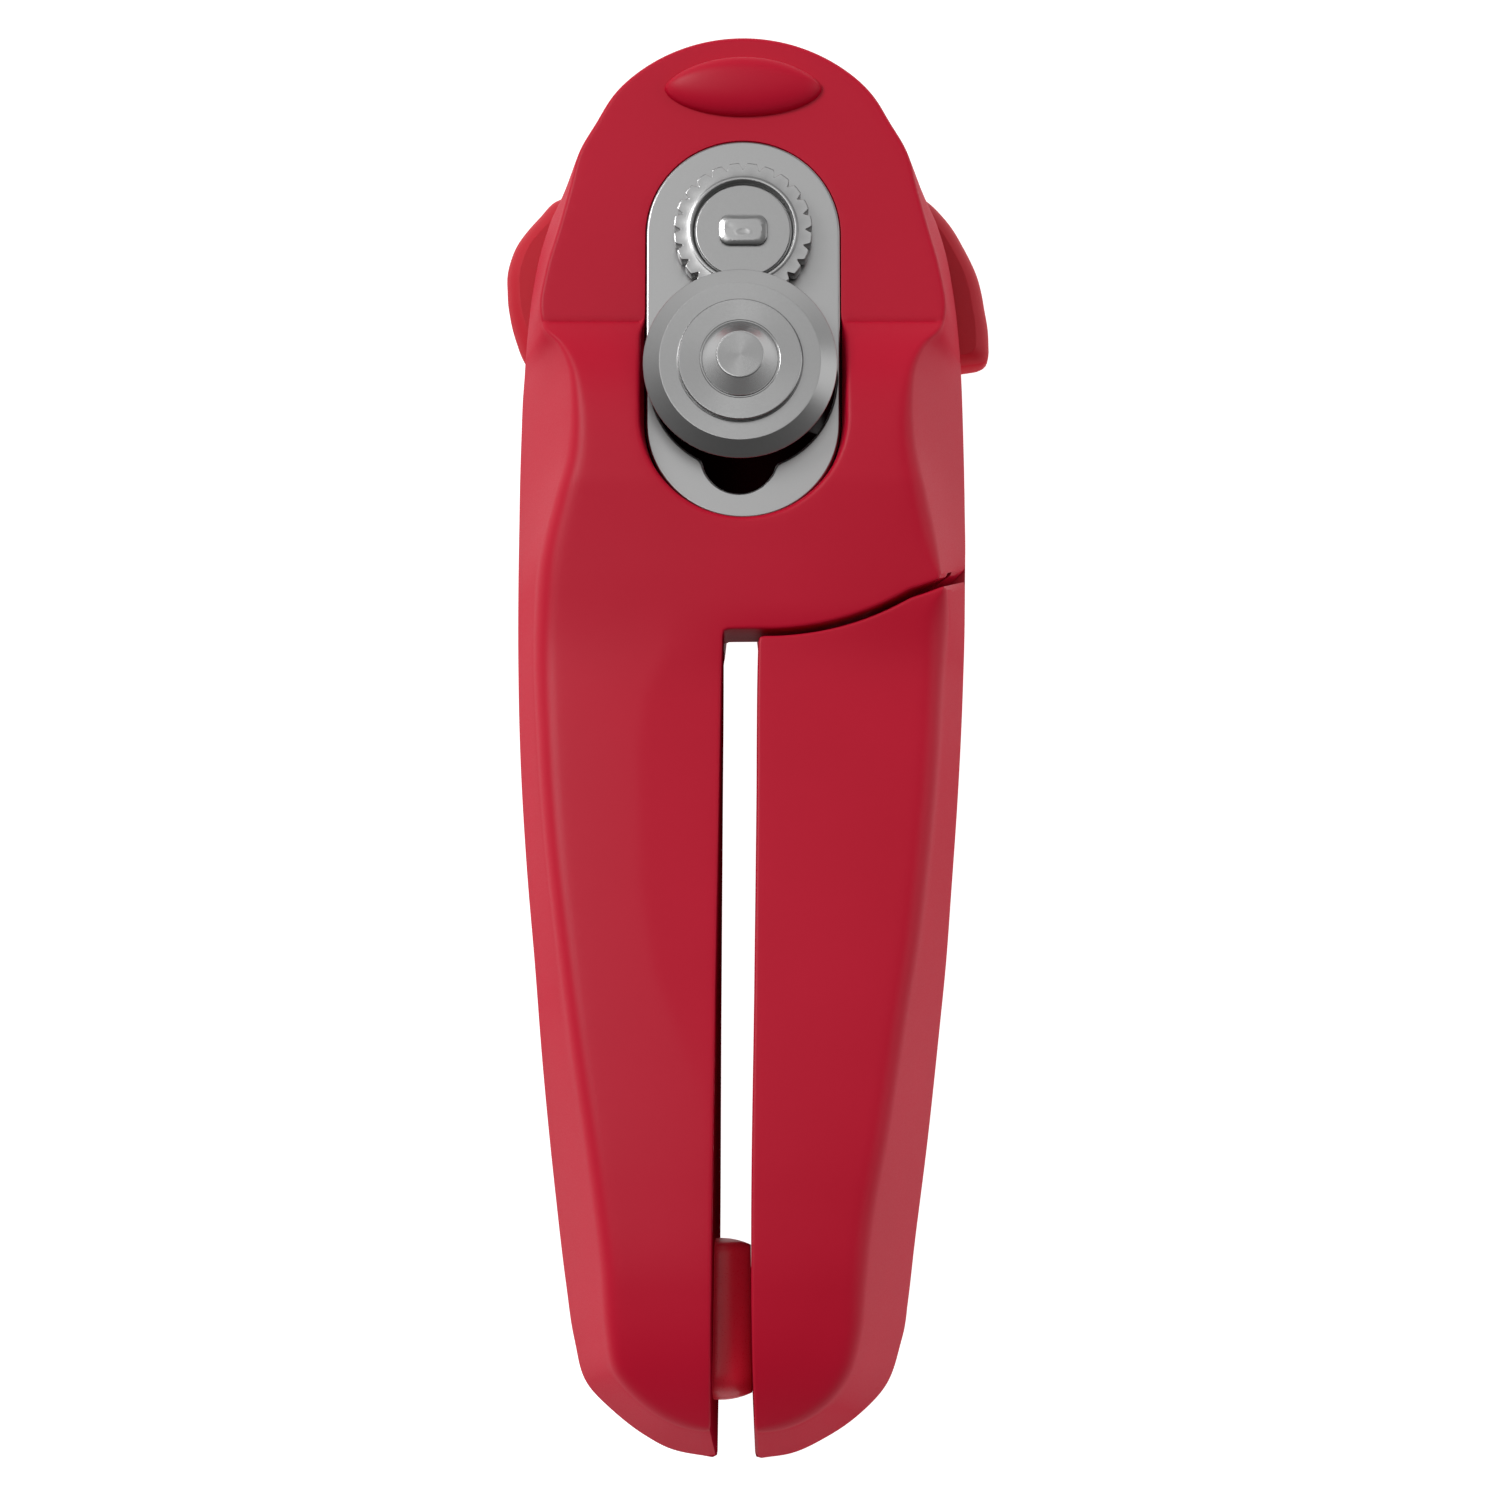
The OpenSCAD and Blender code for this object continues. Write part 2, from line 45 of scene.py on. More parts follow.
# ---------------------------------------------------------------- levels and outlines
FACE_Z, CREASE_Y, PARTING_Z = -0.3, -11.5, -16.0
HEAD_BACK, HANDLE_BACK = -21.0, -24.0
WALL, SKIN = 2.2, 2.6  # thickness of the shells' sides and faces
HEAD_Y = 4.7  # centre of the nose's circle
PIVOT = np.array([15.4, -24.3])
PLATE_R, PLATE_TOP, PLATE_LOW = 12.85, 0.4, -25.4
JOINT_GAP = 1.0
JOINT_R, JOINT_TURN = 25.8, -14.6  # the joint line's radius, and the angle from which it grows to the left
REAR_JOINT_R = 27.4  # least radius of the rear shells' joint line about the pivot
JOINT_Y, SLOT_Y = -44, -50  # the joint's walls and the slot lie below these
CREASE_DEEP, CREASE_HALF = 0.13, 0.5
STATION = 0.6  # spacing of the columns round a shell
# the cutter's arm comes through the joint's walls from ARM_LOW up to ARM_HIGH
RELIEF_Z, ARM_LOW, ARM_HIGH = -6.9, -6.3, -3.0
# below RELIEF_Z the slot's end is set back by RELIEF, from SLOT_END to SLOT_Y and within SLOT_HALF of SLOT_MID
RELIEF, SLOT_MID, SLOT_HALF, SLOT_END = 4.8, -0.4, 2.25, -53.75

# front profile down the middle of the handles, as (y, z)
FRONT_KNOTS = [(-34, 4.5), (-45, 3.4), (-56, 2.4), (-70, 3.4), (-90, 5), (-110, 6.1), (-127, 6.4),
               (-140, 5.6), (-150, 3.2), (-157, -1), (-163, -7)]

# stations down the sides: front edge x, y, widest edge x, y, edge radius
LEFT = [(-22.9, 7.6, -26.2, 7.0, .6), (-24.5, 1.6, -27.7, 1.8, .6), (-26.2, -4.4, -28.75, -4.4, .6),
        (-26.9, -10.4, -29.35, -10.6, .6), (-26.3, -12.6, -29.5, -12.9, .6),
        (-24.3, -14.9, -29.6, -15, .8), (-22.9, -18, -29.8, -18, 1.1), (-22.2, -23.1, -29.95, -23, 1.6),
        (-22.5, -30.3, -30.1, -30, 2.2), (-24.2, -36.3, -30.15, -36.5, 2.6),
        (-26, -43, -30.2, -43, 2.8), (-26.9, -53, -30.15, -53, 2.8), (-26.4, -68, -29.7, -68, 2.6),
        (-25.2, -82.8, -28.7, -83, 2.5), (-23.7, -95, -27.6, -95, 2.4),
        (-21.9, -107.9, -26.5, -108, 2.3), (-19.2, -125.5, -24.65, -125.5, 2.2),
        (-17.7, -137.3, -23.15, -137.5, 2.1), (-17.2, -144.8, -22, -144.7, 1.9),
        (-16.2, -150, -20.4, -150.2, 1.6), (-13.6, -153.1, -17.2, -153.6, 1.4),
        (-10.1, -155.6, -12.6, -157.1, 1.2), (-6.9, -156.8, -8.6, -159, 1), (-4.1, -157.2, -3.3, -159.9, .6)]
BODY_SLOT = [(-4.1, -157.2, -3.3, -159.9, .5), (-4, -140, -3.05, -142, .5), (-3.45, -101, -2.85, -101, .5),
             (-3, -75, -2.7, -75, .5), (-2.7, -58, -2.6, -58, .5), (-2.6, -53.3, -2.6, -53.3, .4)]
BODY_RIGHT = [(25.9, -46.5, 29.73, -41.8, .7), (25.2, -42.9, 29.85, -40, 2), (23.5, -35.5, 29.85, -35.2, 2.4),
              (22, -28.5, 29.8, -28.5, 2), (21.9, -22.5, 29.7, -22.5, 1.5), (22.6, -18, 29.6, -18, 1.1),
              (24.1, -14.9, 29.5, -15, .8), (26.2, -12.6, 29.4, -12.9, .6), (26.8, -10.4, 29.25, -10.6, .6),
              (26.1, -4.4, 28.65, -4.4, .6), (24.5, 1.6, 27.65, 1.8, .6), (22.9, 7.6, 26.2, 7.0, .6)]
LEVER_SLOT = [(2.0, -54.5, 2.0, -54.5, .5), (1.9, -58, 1.9, -58, .5), (1.75, -75, 1.75, -75, .5),
              (1.45, -101, 1.45, -101, .5), (1.05, -133, 1.05, -133, .5), (1.15, -148, 1.15, -149, .5),
              (1.5, -157.3, 1.6, -160, .6)]
LEVER_RIGHT = [(1.5, -157.3, 1.6, -160, .6), (5, -156.8, 6.4, -159.3, 1), (8.1, -155.6, 10.2, -157.6, 1.2),
               (11, -153.5, 14.4, -154.9, 1.4), (13.2, -150.4, 18.4, -150.9, 1.6),
               (14.6, -145.4, 20.7, -144.7, 1.9), (15.2, -139, 21.6, -139.5, 2.1),
               (15.9, -132.2, 22.45, -132.5, 2.2), (18.3, -119.2, 24.2, -119.2, 2.2),
               (20.8, -103.8, 25.95, -103.8, 2.3), (22.4, -94.5, 26.9, -94.8, 2.4),
               (23.6, -85.4, 27.65, -85.4, 2.5), (25, -72, 28.65, -72, 2.6), (25.9, -58, 29.4, -58, 2.6),
               (26.5, -51.5, 29.7, -49.5, 3), (26.6, -47.5, 29.8, -42.9, .7)]


def smoothstep(a, b, x):
    t = np.clip((np.asarray(x, float) - a) / (b - a), 0, 1)
    return t * t * (3 - 2 * t)


def spline(rows, step=0.3):
    """Smooth curve through rows, sampled about every step mm along its first two columns."""
    p = np.array(rows, float)
    h = np.maximum(np.linalg.norm(np.diff(p[:, :2], axis=0), axis=1), 1e-6)
    d = np.diff(p, axis=0) / h[:, None]
    m = np.empty_like(p)
    m[0], m[-1] = d[0], d[-1]
    m[1:-1] = (d[:-1] * h[1:, None] + d[1:] * h[:-1, None]) / (h[1:] + h[:-1])[:, None]
    out = []
    for i in range(len(h)):
        n = max(2, int(h[i] / step))
        t = np.linspace(0, 1, n, endpoint=False)[:, None]
        out.append((2 * t**3 - 3 * t**2 + 1) * p[i] + (t**3 - 2 * t**2 + t) * h[i] * m[i]
                   + (3 * t**2 - 2 * t**3) * p[i + 1] + (t**3 - t**2) * h[i] * m[i + 1])
    return np.concatenate(out)


def soften(loop, sigma, step):
    """Rounds a closed loop's corners by averaging along it."""
    k = max(1, int(3 * sigma / step))
    w = np.exp(-0.5 * (np.arange(-k, k + 1) * step / sigma) ** 2)
    w /= w.sum()
    return sum(wi * np.roll(loop, j, axis=0) for wi, j in zip(w, range(-k, k + 1)))


def lengths(loop):
    """The loop closed, and how far along its first two columns each point lies."""
    c = np.vstack([loop, loop[:1]])
    return c, np.concatenate([[0], np.cumsum(np.linalg.norm(np.diff(c[:, :2], axis=0), axis=1))])


def even(loop, n):
    """The closed loop as n evenly spaced points."""
    c, s = lengths(loop)
    t = np.linspace(0, s[-1], n, endpoint=False)
    return np.stack([np.interp(t, s, c[:, j]) for j in range(c.shape[1])], axis=1)


def resample(loop, step):
    """The closed loop with a point about every step mm."""
    return even(loop, int(lengths(loop)[1][-1] / step))


def closed_stations(runs):
    """Runs of stations joined into one loop, its corners slightly rounded."""
    fine = resample(np.concatenate(runs), 0.2)
    return resample(soften(fine, 0.45, 0.2), STATION)


def inward(loop, sigma=1.2):
    """Unit normals that point into a counter-clockwise loop, turned smoothly round its corners."""
    s = soften(loop[:, :2], sigma, STATION)
    t = np.roll(s, -1, axis=0) - np.roll(s, 1, axis=0)
    t /= np.linalg.norm(t, axis=1)[:, None]
    return np.stack([-t[:, 1], t[:, 0]], axis=1)


def joint_radius(a):
    """The joint line's distance from the pivot, by the angle left of straight down."""
    u = np.maximum(0, a - JOINT_TURN)
    return JOINT_R + 0.13 * u + 0.0015 * u * u


def joint_run(front, wide, gap):
    """Stations along the joint line between two pairs of angles. The widest edge climbs at the right."""
    t = np.linspace(0, 1, 80)
    rows = []
    for (a0, a1), climb in ((front, 0), (wide, 2.2)):
        a = a0 + (a1 - a0) * t
        r = joint_radius(a) - gap - climb * smoothstep(-20, -38, a)
        rows += [PIVOT[0] - r * np.sin(np.radians(a)), PIVOT[1] - r * np.cos(np.radians(a))]
    return np.stack(rows + [np.full(len(t), .5)], axis=1)


def head_run():
    """Nose stations: a circle drawn in a little at the shoulders."""
    a = np.linspace(14, 166, 160)
    low = np.minimum(a, 180 - a)
    front = 23.08 - 0.5 * np.exp(-((low - 30) / 9) ** 2)
    wide = 25.5 - 0.5 * np.exp(-((low - 28) / 20) ** 2)
    c, s = np.cos(np.radians(a)), np.sin(np.radians(a))
    return np.stack([front * c, HEAD_Y + front * s, wide * c, HEAD_Y + wide * s, np.full(len(a), 0.6)], axis=1)


body_loop = closed_stations([head_run(), spline(LEFT), spline(BODY_SLOT),
                             joint_run((25, -25.4), (25, -39.2), JOINT_GAP), spline(BODY_RIGHT)])
lever_loop = closed_stations([spline(LEVER_SLOT), spline(LEVER_RIGHT), joint_run((-24.9, 23), (-37.8, 23), 0)])

# ---------------------------------------------------------------- front surface
# flat down to the crease, then a rise that eases off into the handles' profile
RISE = np.linspace(0, 1, 60)
RISE_Y, RISE_Z = FRONT_KNOTS[0]
PROFILE = np.concatenate([
    [(60, FACE_Z)],
    np.stack([CREASE_Y - RISE * (CREASE_Y - RISE_Y),
              FACE_Z + (RISE_Z - FACE_Z) * (1 - (1 - RISE) ** 3.0)], axis=1),
    spline(FRONT_KNOTS, 0.5)])[::-1]


def profile_z(y):
    """Level of the face down the middle, with the fine groove of the crease."""
    groove = CREASE_DEEP * np.clip(1 - np.abs(y - CREASE_Y) / CREASE_HALF, 0, 1)
    return np.interp(y, PROFILE[:, 0], PROFILE[:, 1]) - groove


def crown(x, y, half):
    """How far the face drops towards its sides."""
    amount = 1.3 * smoothstep(-14, -50, y)
    return amount * np.clip(np.abs(x) / half, 0, 1.2) ** 2


def body_front(x, y):
    """Crowned face with a soft facet that falls towards the slot."""
    x, y = np.asarray(x, float), np.asarray(y, float)
    z = profile_z(y) - crown(x, y, 26 - 8 * smoothstep(-80, -150, y))
    facet_edge = np.interp(y, [-118, -99, -88, -70, -62, -56], [-4.2, -11.2, -13, -13.4, -12.4, -9.6])
    return z - 0.10 * np.clip(x - facet_edge, 0, 12) * smoothstep(-50, -60, y) * smoothstep(-125, -100, y)


def lever_front(x, y):
    """Like the body's face, but tipped down to the right."""
    x, y = np.asarray(x, float), np.asarray(y, float)
    half = 26 - 9 * smoothstep(-80, -150, y)
    return profile_z(y) - crown(x, y, half) - 1.1 * smoothstep(-48, -60, y) * np.clip((x - 1) / half, 0, 1.2)


def back_face(x, y):
    return HEAD_BACK + (HANDLE_BACK - HEAD_BACK) * smoothstep(-38, -48, np.asarray(y, float))


# ---------------------------------------------------------------- mesh code
class Build:
    """Collects vertices and faces in mm."""

    def __init__(self):
        self.v, self.f = [], []

    def row(self, pts):
        start = len(self.v)
        self.v += [tuple(p) for p in np.asarray(pts, float)]
        return np.arange(start, len(self.v))

    def bridge(self, a, b, skip=None):
        n = len(a)
        for i in range(n):
            if skip is not None and skip[i]:
                continue
            j = (i + 1) % n
            self.f.append((a[i], a[j], b[j], b[i]))

    def rows(self, loops):
        made = [self.row(p) for p in loops]
        for a, b in zip(made, made[1:]):
            self.bridge(a, b)
        return made

    def cap(self, outer, holes, height, grid, lines=()):
        """Fills between index loops with a triangulated surface whose height is given by a function."""
        pts = np.array(self.v)
        loops = [outer] + list(holes)
        ids = np.concatenate(loops)
        flat = [pts[i][:2] for i in ids]
        edges, at = [], 0
        for lp in loops:
            n = len(lp)
            edges += [(at + i, at + (i + 1) % n) for i in range(n)]
            at += n
        polys = [pts[lp][:, :2] for lp in loops]
        lo, hi = polys[0].min(0), polys[0].max(0)
        xs, ys = np.meshgrid(np.arange(lo[0], hi[0], grid), np.arange(lo[1], hi[1], grid * 0.87))
        xs = xs + (np.arange(len(ys))[:, None] % 2) * grid / 2
        inner = np.stack([xs.ravel(), ys.ravel()], axis=1)
        keep = inside(inner, polys[0])
        for p in polys[1:]:
            keep &= ~inside(inner, p)
        inner = inner[keep]

        def clear(points, share):
            """Inner points far enough from the given ones."""
            d = np.array([np.min((points[:, 0] - q[0]) ** 2 + (points[:, 1] - q[1]) ** 2) for q in inner])
            return inner[d.reshape(-1) > (share * min(grid, 1.0)) ** 2]

        inner = clear(np.vstack(polys), 0.45)
        for ln in lines:
            ln = np.asarray(ln, float)
            inner = clear(ln, 0.3)
            start = len(flat)
            flat += [tuple(q) for q in ln]
            edges += [(start + i, start + i + 1) for i in range(len(ln) - 1)]
        flat += [tuple(q) for q in inner]
        out_v, _, out_f, orig, _, _ = delaunay_2d_cdt([Vector(q) for q in flat], edges, [], 0, 1e-5)
        out = np.array([tuple(q) for q in out_v])
        index = np.full(len(out), -1)
        for i, o in enumerate(orig):
            known = [k for k in o if k < len(ids)]
            if known:
                index[i] = ids[known[0]]
        new = np.flatnonzero(index < 0)
        index[new] = self.row(np.column_stack([out[new], height(out[new, 0], out[new, 1])]))
        tri = np.array([t for t in out_f])
        mid = out[tri].mean(1)
        ok = inside(mid, polys[0])
        for p in polys[1:]:
            ok &= ~inside(mid, p)
        self.f += [tuple(index[t]) for t in tri[ok]]

    def mesh(self, name, sharp_deg=24):
        used = sorted({i for f in self.f for i in f})
        where = {o: n for n, o in enumerate(used)}
        me = bpy.data.meshes.new(name)
        me.from_pydata([tuple(c * MM for c in self.v[i]) for i in used], [],
                       [tuple(where[i] for i in f) for f in self.f])
        bm = bmesh.new()
        bm.from_mesh(me)
        bmesh.ops.remove_doubles(bm, verts=bm.verts, dist=2e-7)
        bmesh.ops.recalc_face_normals(bm, faces=bm.faces)
        bm.to_mesh(me)
        bm.free()
        me.shade_smooth()
        me.set_sharp_from_angle(angle=math.radians(sharp_deg))
        me.validate()
        ob = bpy.data.objects.new(name, me)
        bpy.context.scene.collection.objects.link(ob)
        return ob


def inside(p, poly):
    """Which points lie in a polygon."""
    x, y = p[:, 0], p[:, 1]
    c = np.zeros(len(p), bool)
    a, b = poly, np.roll(poly, -1, axis=0)
    for (x0, y0), (x1, y1) in zip(a, b):
        if y0 == y1:
            continue
        cross = (y0 > y) != (y1 > y)
        c ^= cross & (x < (x1 - x0) * (y - y0) / (y1 - y0) + x0)
    return c


def xyz(p, z):
    """Flat points with a level, or one level for each."""
    return np.column_stack([p, np.full(len(p), z) if np.isscalar(z) else z])


def fillet(a, corner, b, n):
    """Rows between a and b that turn round a corner, ends left out."""
    return [(1 - t) ** 2 * a + 2 * t * (1 - t) * corner + t * t * b for t in np.linspace(0, 1, n + 2)[1:-1]]


ARM_ROW = 4  # the wall row at ARM_LOW


def shell(name, loop, face, side, holes=(), slot=None, lines=None, grid=1.0, patch=None, slot_end=False):
    """A hollow moulded shell: parting rim, ruled side wall, rounded edge, face, and the same again inside.

    side is 1 for a front shell and -1 for a rear one. slot marks the columns where the cutter's arm comes
    through, and slot_end asks for the relief at the end of the slot between the handles.
    """
    b = Build()
    in_slot = (loop[:, 3] < SLOT_Y) & (np.abs(loop[:, 2] - SLOT_MID) < SLOT_HALF)
    set_back = in_slot & (loop[:, 3] > SLOT_END)
    if slot_end and side < 0:
        loop = loop.copy()
        loop[set_back, 1] += RELIEF
        loop[set_back, 3] += RELIEF
    f, w, r = loop[:, :2], loop[:, 2:4], loop[:, 4]
    top = f + inward(f) * r[:, None]
    rim, corner = xyz(w, PARTING_Z), xyz(f, face(f[:, 0], f[:, 1]))
    down = rim - corner
    down /= np.linalg.norm(down, axis=1)[:, None]
    on_wall = corner + down * r[:, None]
    on_face = xyz(top, face(top[:, 0], top[:, 1]))
    if side > 0:
        height = np.abs(on_wall[:, 2] - PARTING_Z)
        levels = ((RELIEF_Z, .36, .52), (ARM_LOW, .4, .56), (ARM_HIGH, .6, .74))
        arm = [np.clip((z - PARTING_Z) / height, least, most) for z, least, most in levels]
        shares = [0, .2, .38] + arm + [.88, 1]
    else:
        shares = [0, .33, .66, 1]
    shares = [np.broadcast_to(t, len(loop))[:, None] for t in shares]
    f_in, w_in = f + inward(f, 4) * WALL, w + inward(w, 4) * WALL
    rim_in, top_in = xyz(w_in, PARTING_Z), xyz(f_in, face(f_in[:, 0], f_in[:, 1]) - side * SKIN)
    outer = [rim + (on_wall - rim) * t for t in shares]
    inner = [rim_in + (top_in - rim_in) * t for t in shares]
    if slot_end and side > 0:
        for p in outer[:ARM_ROW] + inner[:ARM_ROW]:
            p[set_back, 1] += RELIEF
    outer += fillet(on_wall, corner, on_face, 6) + [on_face]
    o_idx, i_idx = [b.row(p) for p in outer], [b.row(p) for p in inner]
    for rows in (o_idx, i_idx):
        for k, (p, q) in enumerate(zip(rows, rows[1:])):
            b.bridge(p, q, slot if k == ARM_ROW else None)
    b.bridge(o_idx[0], i_idx[0])
    for i in [] if slot is None else np.flatnonzero(slot):
        j = (i + 1) % len(slot)
        for k in (ARM_ROW, ARM_ROW + 1):
            b.f.append((o_idx[k][i], o_idx[k][j], i_idx[k][j], i_idx[k][i]))
        for at, beyond in ((i, i - 1), (j, j)):
            if not slot[beyond]:
                k = ARM_ROW
                b.f.append((o_idx[k][at], o_idx[k + 1][at], i_idx[k + 1][at], i_idx[k][at]))
    face_holes, cap_holes = [], []
    for rows in holes:
        made = b.rows(rows)
        face_holes.append(made[0])
        cap_holes.append(made[-1])
    if patch is not None:
        face_holes.append(patch(b))
    line_pts = []
    if lines is not None:
        line_pts = lines(np.array(b.v)[o_idx[-1]], [np.array(b.v)[h] for h in face_holes])
    b.cap(o_idx[-1], face_holes, face, grid, line_pts)
    b.cap(i_idx[-1], cap_holes, lambda x, y: face(x, y) - side * SKIN, 2.4)
    return b.mesh(name)


def circle(cx, cy, r, n=48):
    a = np.linspace(0, 2 * np.pi, n, endpoint=False)
    return np.stack([cx + r * np.cos(a), cy + r * np.sin(a)], axis=1)


def obround(r, n_arc=72, n_line=36, top=PLATE_TOP, low=PLATE_LOW):
    """Obround outline, counter-clockwise, with the same number of points at every radius."""
    a = np.linspace(0, np.pi, n_arc, endpoint=False)
    y = np.linspace(top, low, n_line, endpoint=False)
    return np.concatenate([
        np.stack([r * np.cos(a), top + r * np.sin(a)], axis=1),
        np.stack([np.full(n_line, -r), y], axis=1),
        np.stack([-r * np.cos(a), low - r * np.sin(a)], axis=1),
        np.stack([np.full(n_line, r), y[::-1] - (top - low) / n_line], axis=1)])


def lathe(name, profile, centre=(0, 0), n=128, sharp_deg=24):
    """Turned piece from a closed run of (radius, level) points, each long side held flat near its ends."""
    b = Build()
    held = []
    for (r0, z0), (r1, z1) in zip(profile, profile[1:]):
        length = math.hypot(r1 - r0, z1 - z0)
        held.append((r0, z0))
        if length > 0.3:
            u = 0.04 / length
            held += [(r0 + (r1 - r0) * u, z0 + (z1 - z0) * u), (r1 - (r1 - r0) * u, z1 - (z1 - z0) * u)]
    profile = held + [profile[-1]]
    rows = []
    for r, z in profile:
        if r < 1e-6:
            rows.append(np.full(n, b.row([(centre[0], centre[1], z)])[0]))
        else:
            rows.append(b.row(xyz(circle(centre[0], centre[1], r, n), z)))
    ends = list(zip(rows, rows[1:]))
    if profile[0][0] > 1e-6 and profile[-1][0] > 1e-6:
        ends.append((rows[-1], rows[0]))
    for p, q in ends:
        for i in range(n):
            j = (i + 1) % n
            ring = [p[i], p[j], q[j], q[i]]
            ring = [v for k, v in enumerate(ring) if v not in ring[:k]]
            if len(ring) > 2:
                b.f.append(tuple(ring))
    return b.mesh(name, sharp_deg)


# ---------------------------------------------------------------- moulded shells
def pocket_rows(front):
    """The plate's seat: flared rim, wall, ledge, window, and the rib under it."""
    base = obround(PLATE_R)
    below = smoothstep(-10.5, -14, base[:, 1])
    out = base - np.column_stack([np.zeros(len(base)), np.clip(base[:, 1], PLATE_LOW, PLATE_TOP)])
    out /= np.linalg.norm(out, axis=1)[:, None]
    gap, rad = 0.12 + 0.5 * below, 0.12 + 0.75 * below
    lip, wall_top = base + out * (gap + rad)[:, None], base + out * gap[:, None]
    a = xyz(lip, front(lip[:, 0], lip[:, 1]))
    corner = xyz(wall_top, front(wall_top[:, 0], wall_top[:, 1]))
    low = corner.copy()
    low[:, 2] -= rad
    floor = base + out * 0.14
    window = obround(10.85)
    window[:, 1] = np.minimum(window[:, 1], -9.6 - 0.001 * np.arange(len(window)) / len(window))
    rib = base + out * 1.7
    return [a] + fillet(a, corner, low, 5) + [low, xyz(floor, -1.3), xyz(window, -1.3), xyz(window, -3.6),
                                             xyz(rib, -3.6), xyz(rib, front(rib[:, 0], rib[:, 1]) - SKIN)]


def crease_lines(edge, holes):
    """The groove across the face, on both sides of the plate, as lines of mesh points."""
    pocket, made = holes[0], []
    for s in (-1, 1):
        e = edge[(edge[:, 0] * s > 15)]
        h = pocket[(pocket[:, 0] * s > 5)]
        e = e[np.argmin(np.abs(e[:, 1] - CREASE_Y))]
        h = h[np.argmin(np.abs(h[:, 1] - CREASE_Y))]
        x = np.linspace(e[0] - s * 0.5, h[0] + s * 0.4, 16)
        made.append([tuple(e[:2])] + [(v, CREASE_Y) for v in x] + [tuple(h[:2])])
        for off in (CREASE_HALF, -CREASE_HALF):
            made.append([(v, CREASE_Y + off) for v in x])
    return made


PAD_Y, PAD_HALF, PAD_UP, PAD_DOWN, PAD_H, PAD_RIDGE = 20.65, 10.5, 3.85, 3.95, 2.9, 0.72


def nose_pad(b):
    """Lens-shaped pad: its lower slope rolls over steeply, its upper slope ends in a small step."""
    t = np.linspace(-np.pi / 2, np.pi / 2, 121)
    x, across = PAD_HALF * np.sin(t), np.cos(t) ** 2
    low, top = PAD_Y - PAD_DOWN * across ** 0.56, PAD_Y + PAD_UP * across ** 0.72
    rise = PAD_H * across ** 0.45

    def line(v, h):
        return np.column_stack([x, low + v * (top - low), FACE_Z + rise * h])

    rows = []
    for a in np.radians([0, 3, 7, 12, 18, 25, 33, 42, 52, 63, 75]):
        rows.append((PAD_RIDGE * (1 - math.cos(a)), math.sin(a) ** 0.9))
    rows += [(.6, .985), (.67, 1), (.73, 1), (.8, .985), (.85, .95), (.9, .9), (.945, .84), (.965, .8),
             (.98, .74), (.99, .6), (.996, .35), (1, 0)]
    made = [b.row(line(v, h)) for v, h in rows]
    for p, q in zip(made, made[1:]):
        for i in range(len(t) - 1):
            b.f.append((p[i], p[i + 1], q[i + 1], q[i]))
    return np.concatenate([made[0][:-1], made[-1][::-1][:-1]])


def joint_columns(loop, start, end, lever=False):
    """Columns of the joint wall through which the cutter's arm passes."""
    d = loop[:, :2] - PIVOT
    a = np.degrees(np.arctan2(-d[:, 0], -d[:, 1]))
    on = np.abs(np.hypot(d[:, 0], d[:, 1]) - joint_radius(a) + (0 if lever else JOINT_GAP)) < 0.4
    return on & (a < start) & (a > end) & (loop[:, 1] < JOINT_Y)


def tube(cx, cy, steps, n=48):
    """Rows of a round hole, as (radius, level or function)."""
    rows = []
    for r, z in steps:
        c = circle(cx, cy, r, n)
        rows.append(xyz(c, z(c[:, 0], c[:, 1]) if callable(z) else z))
    return rows


main_body = shell("main_body", body_loop, body_front, 1, [pocket_rows(body_front)],
                  joint_columns(body_loop, 23.5, -31), crease_lines, patch=nose_pad, slot_end=True)
lever_top = shell("lever_front", lever_loop, lever_front, 1, slot=joint_columns(lever_loop, 22, 10, True))


def rear_joint(a0, a1, gap):
    """The rear shells' joint line: like the front one, but lower at its right end."""
    a = np.linspace(a0, a1, 80)
    r = np.maximum(joint_radius(a), REAR_JOINT_R) - gap
    x, y = PIVOT[0] - r * np.sin(np.radians(a)), PIVOT[1] - r * np.cos(np.radians(a))
    return np.stack([x, y, x, y, np.full(len(a), .5)], axis=1)


def widest(run):
    """The same run with its widest edge in place of its front edge."""
    return np.column_stack([run[:, 2:4], run[:, 2:]])


def rear_stations(runs, small=0.6, large=4.2):
    """A rear shell's stations. The back edge is drawn in a little, with a small radius by slot and joint."""
    wide = closed_stations([widest(run) for run in runs])[:, 2:4]
    d = wide - PIVOT
    a, r = np.degrees(np.arctan2(-d[:, 0], -d[:, 1])), np.hypot(d[:, 0], d[:, 1])
    joint = (np.abs(r - np.maximum(joint_radius(a), REAR_JOINT_R)) < 1.4) & (wide[:, 1] < JOINT_Y)
    slot = (np.abs(wide[:, 0]) < 4.2) & (wide[:, 1] < SLOT_Y)
    near = joint | slot
    for _ in range(10):
        near = near | np.roll(near, 1) | np.roll(near, -1)
    radius = soften(np.where(near, small, large)[:, None], 2.5, STATION)[:, 0]
    radius = np.minimum(radius, np.where(joint | slot, 1.2, 9))
    return np.column_stack([wide + inward(wide, 3) * 0.35, wide, radius])


def back_inside(x, y):
    return back_face(x, y) + SKIN


def recess(x, y):
    """Screw seat in the back: counterbore, hole, and the boss inside."""
    back = float(back_face(x, y))
    return tube(x, y, [(2.95, back_face), (2.7, back + 0.3), (2.7, back + 3.2), (1.65, back + 3.2),
                       (1.65, BOSS_TOP), (4.2, BOSS_TOP), (4.2, back_inside)])


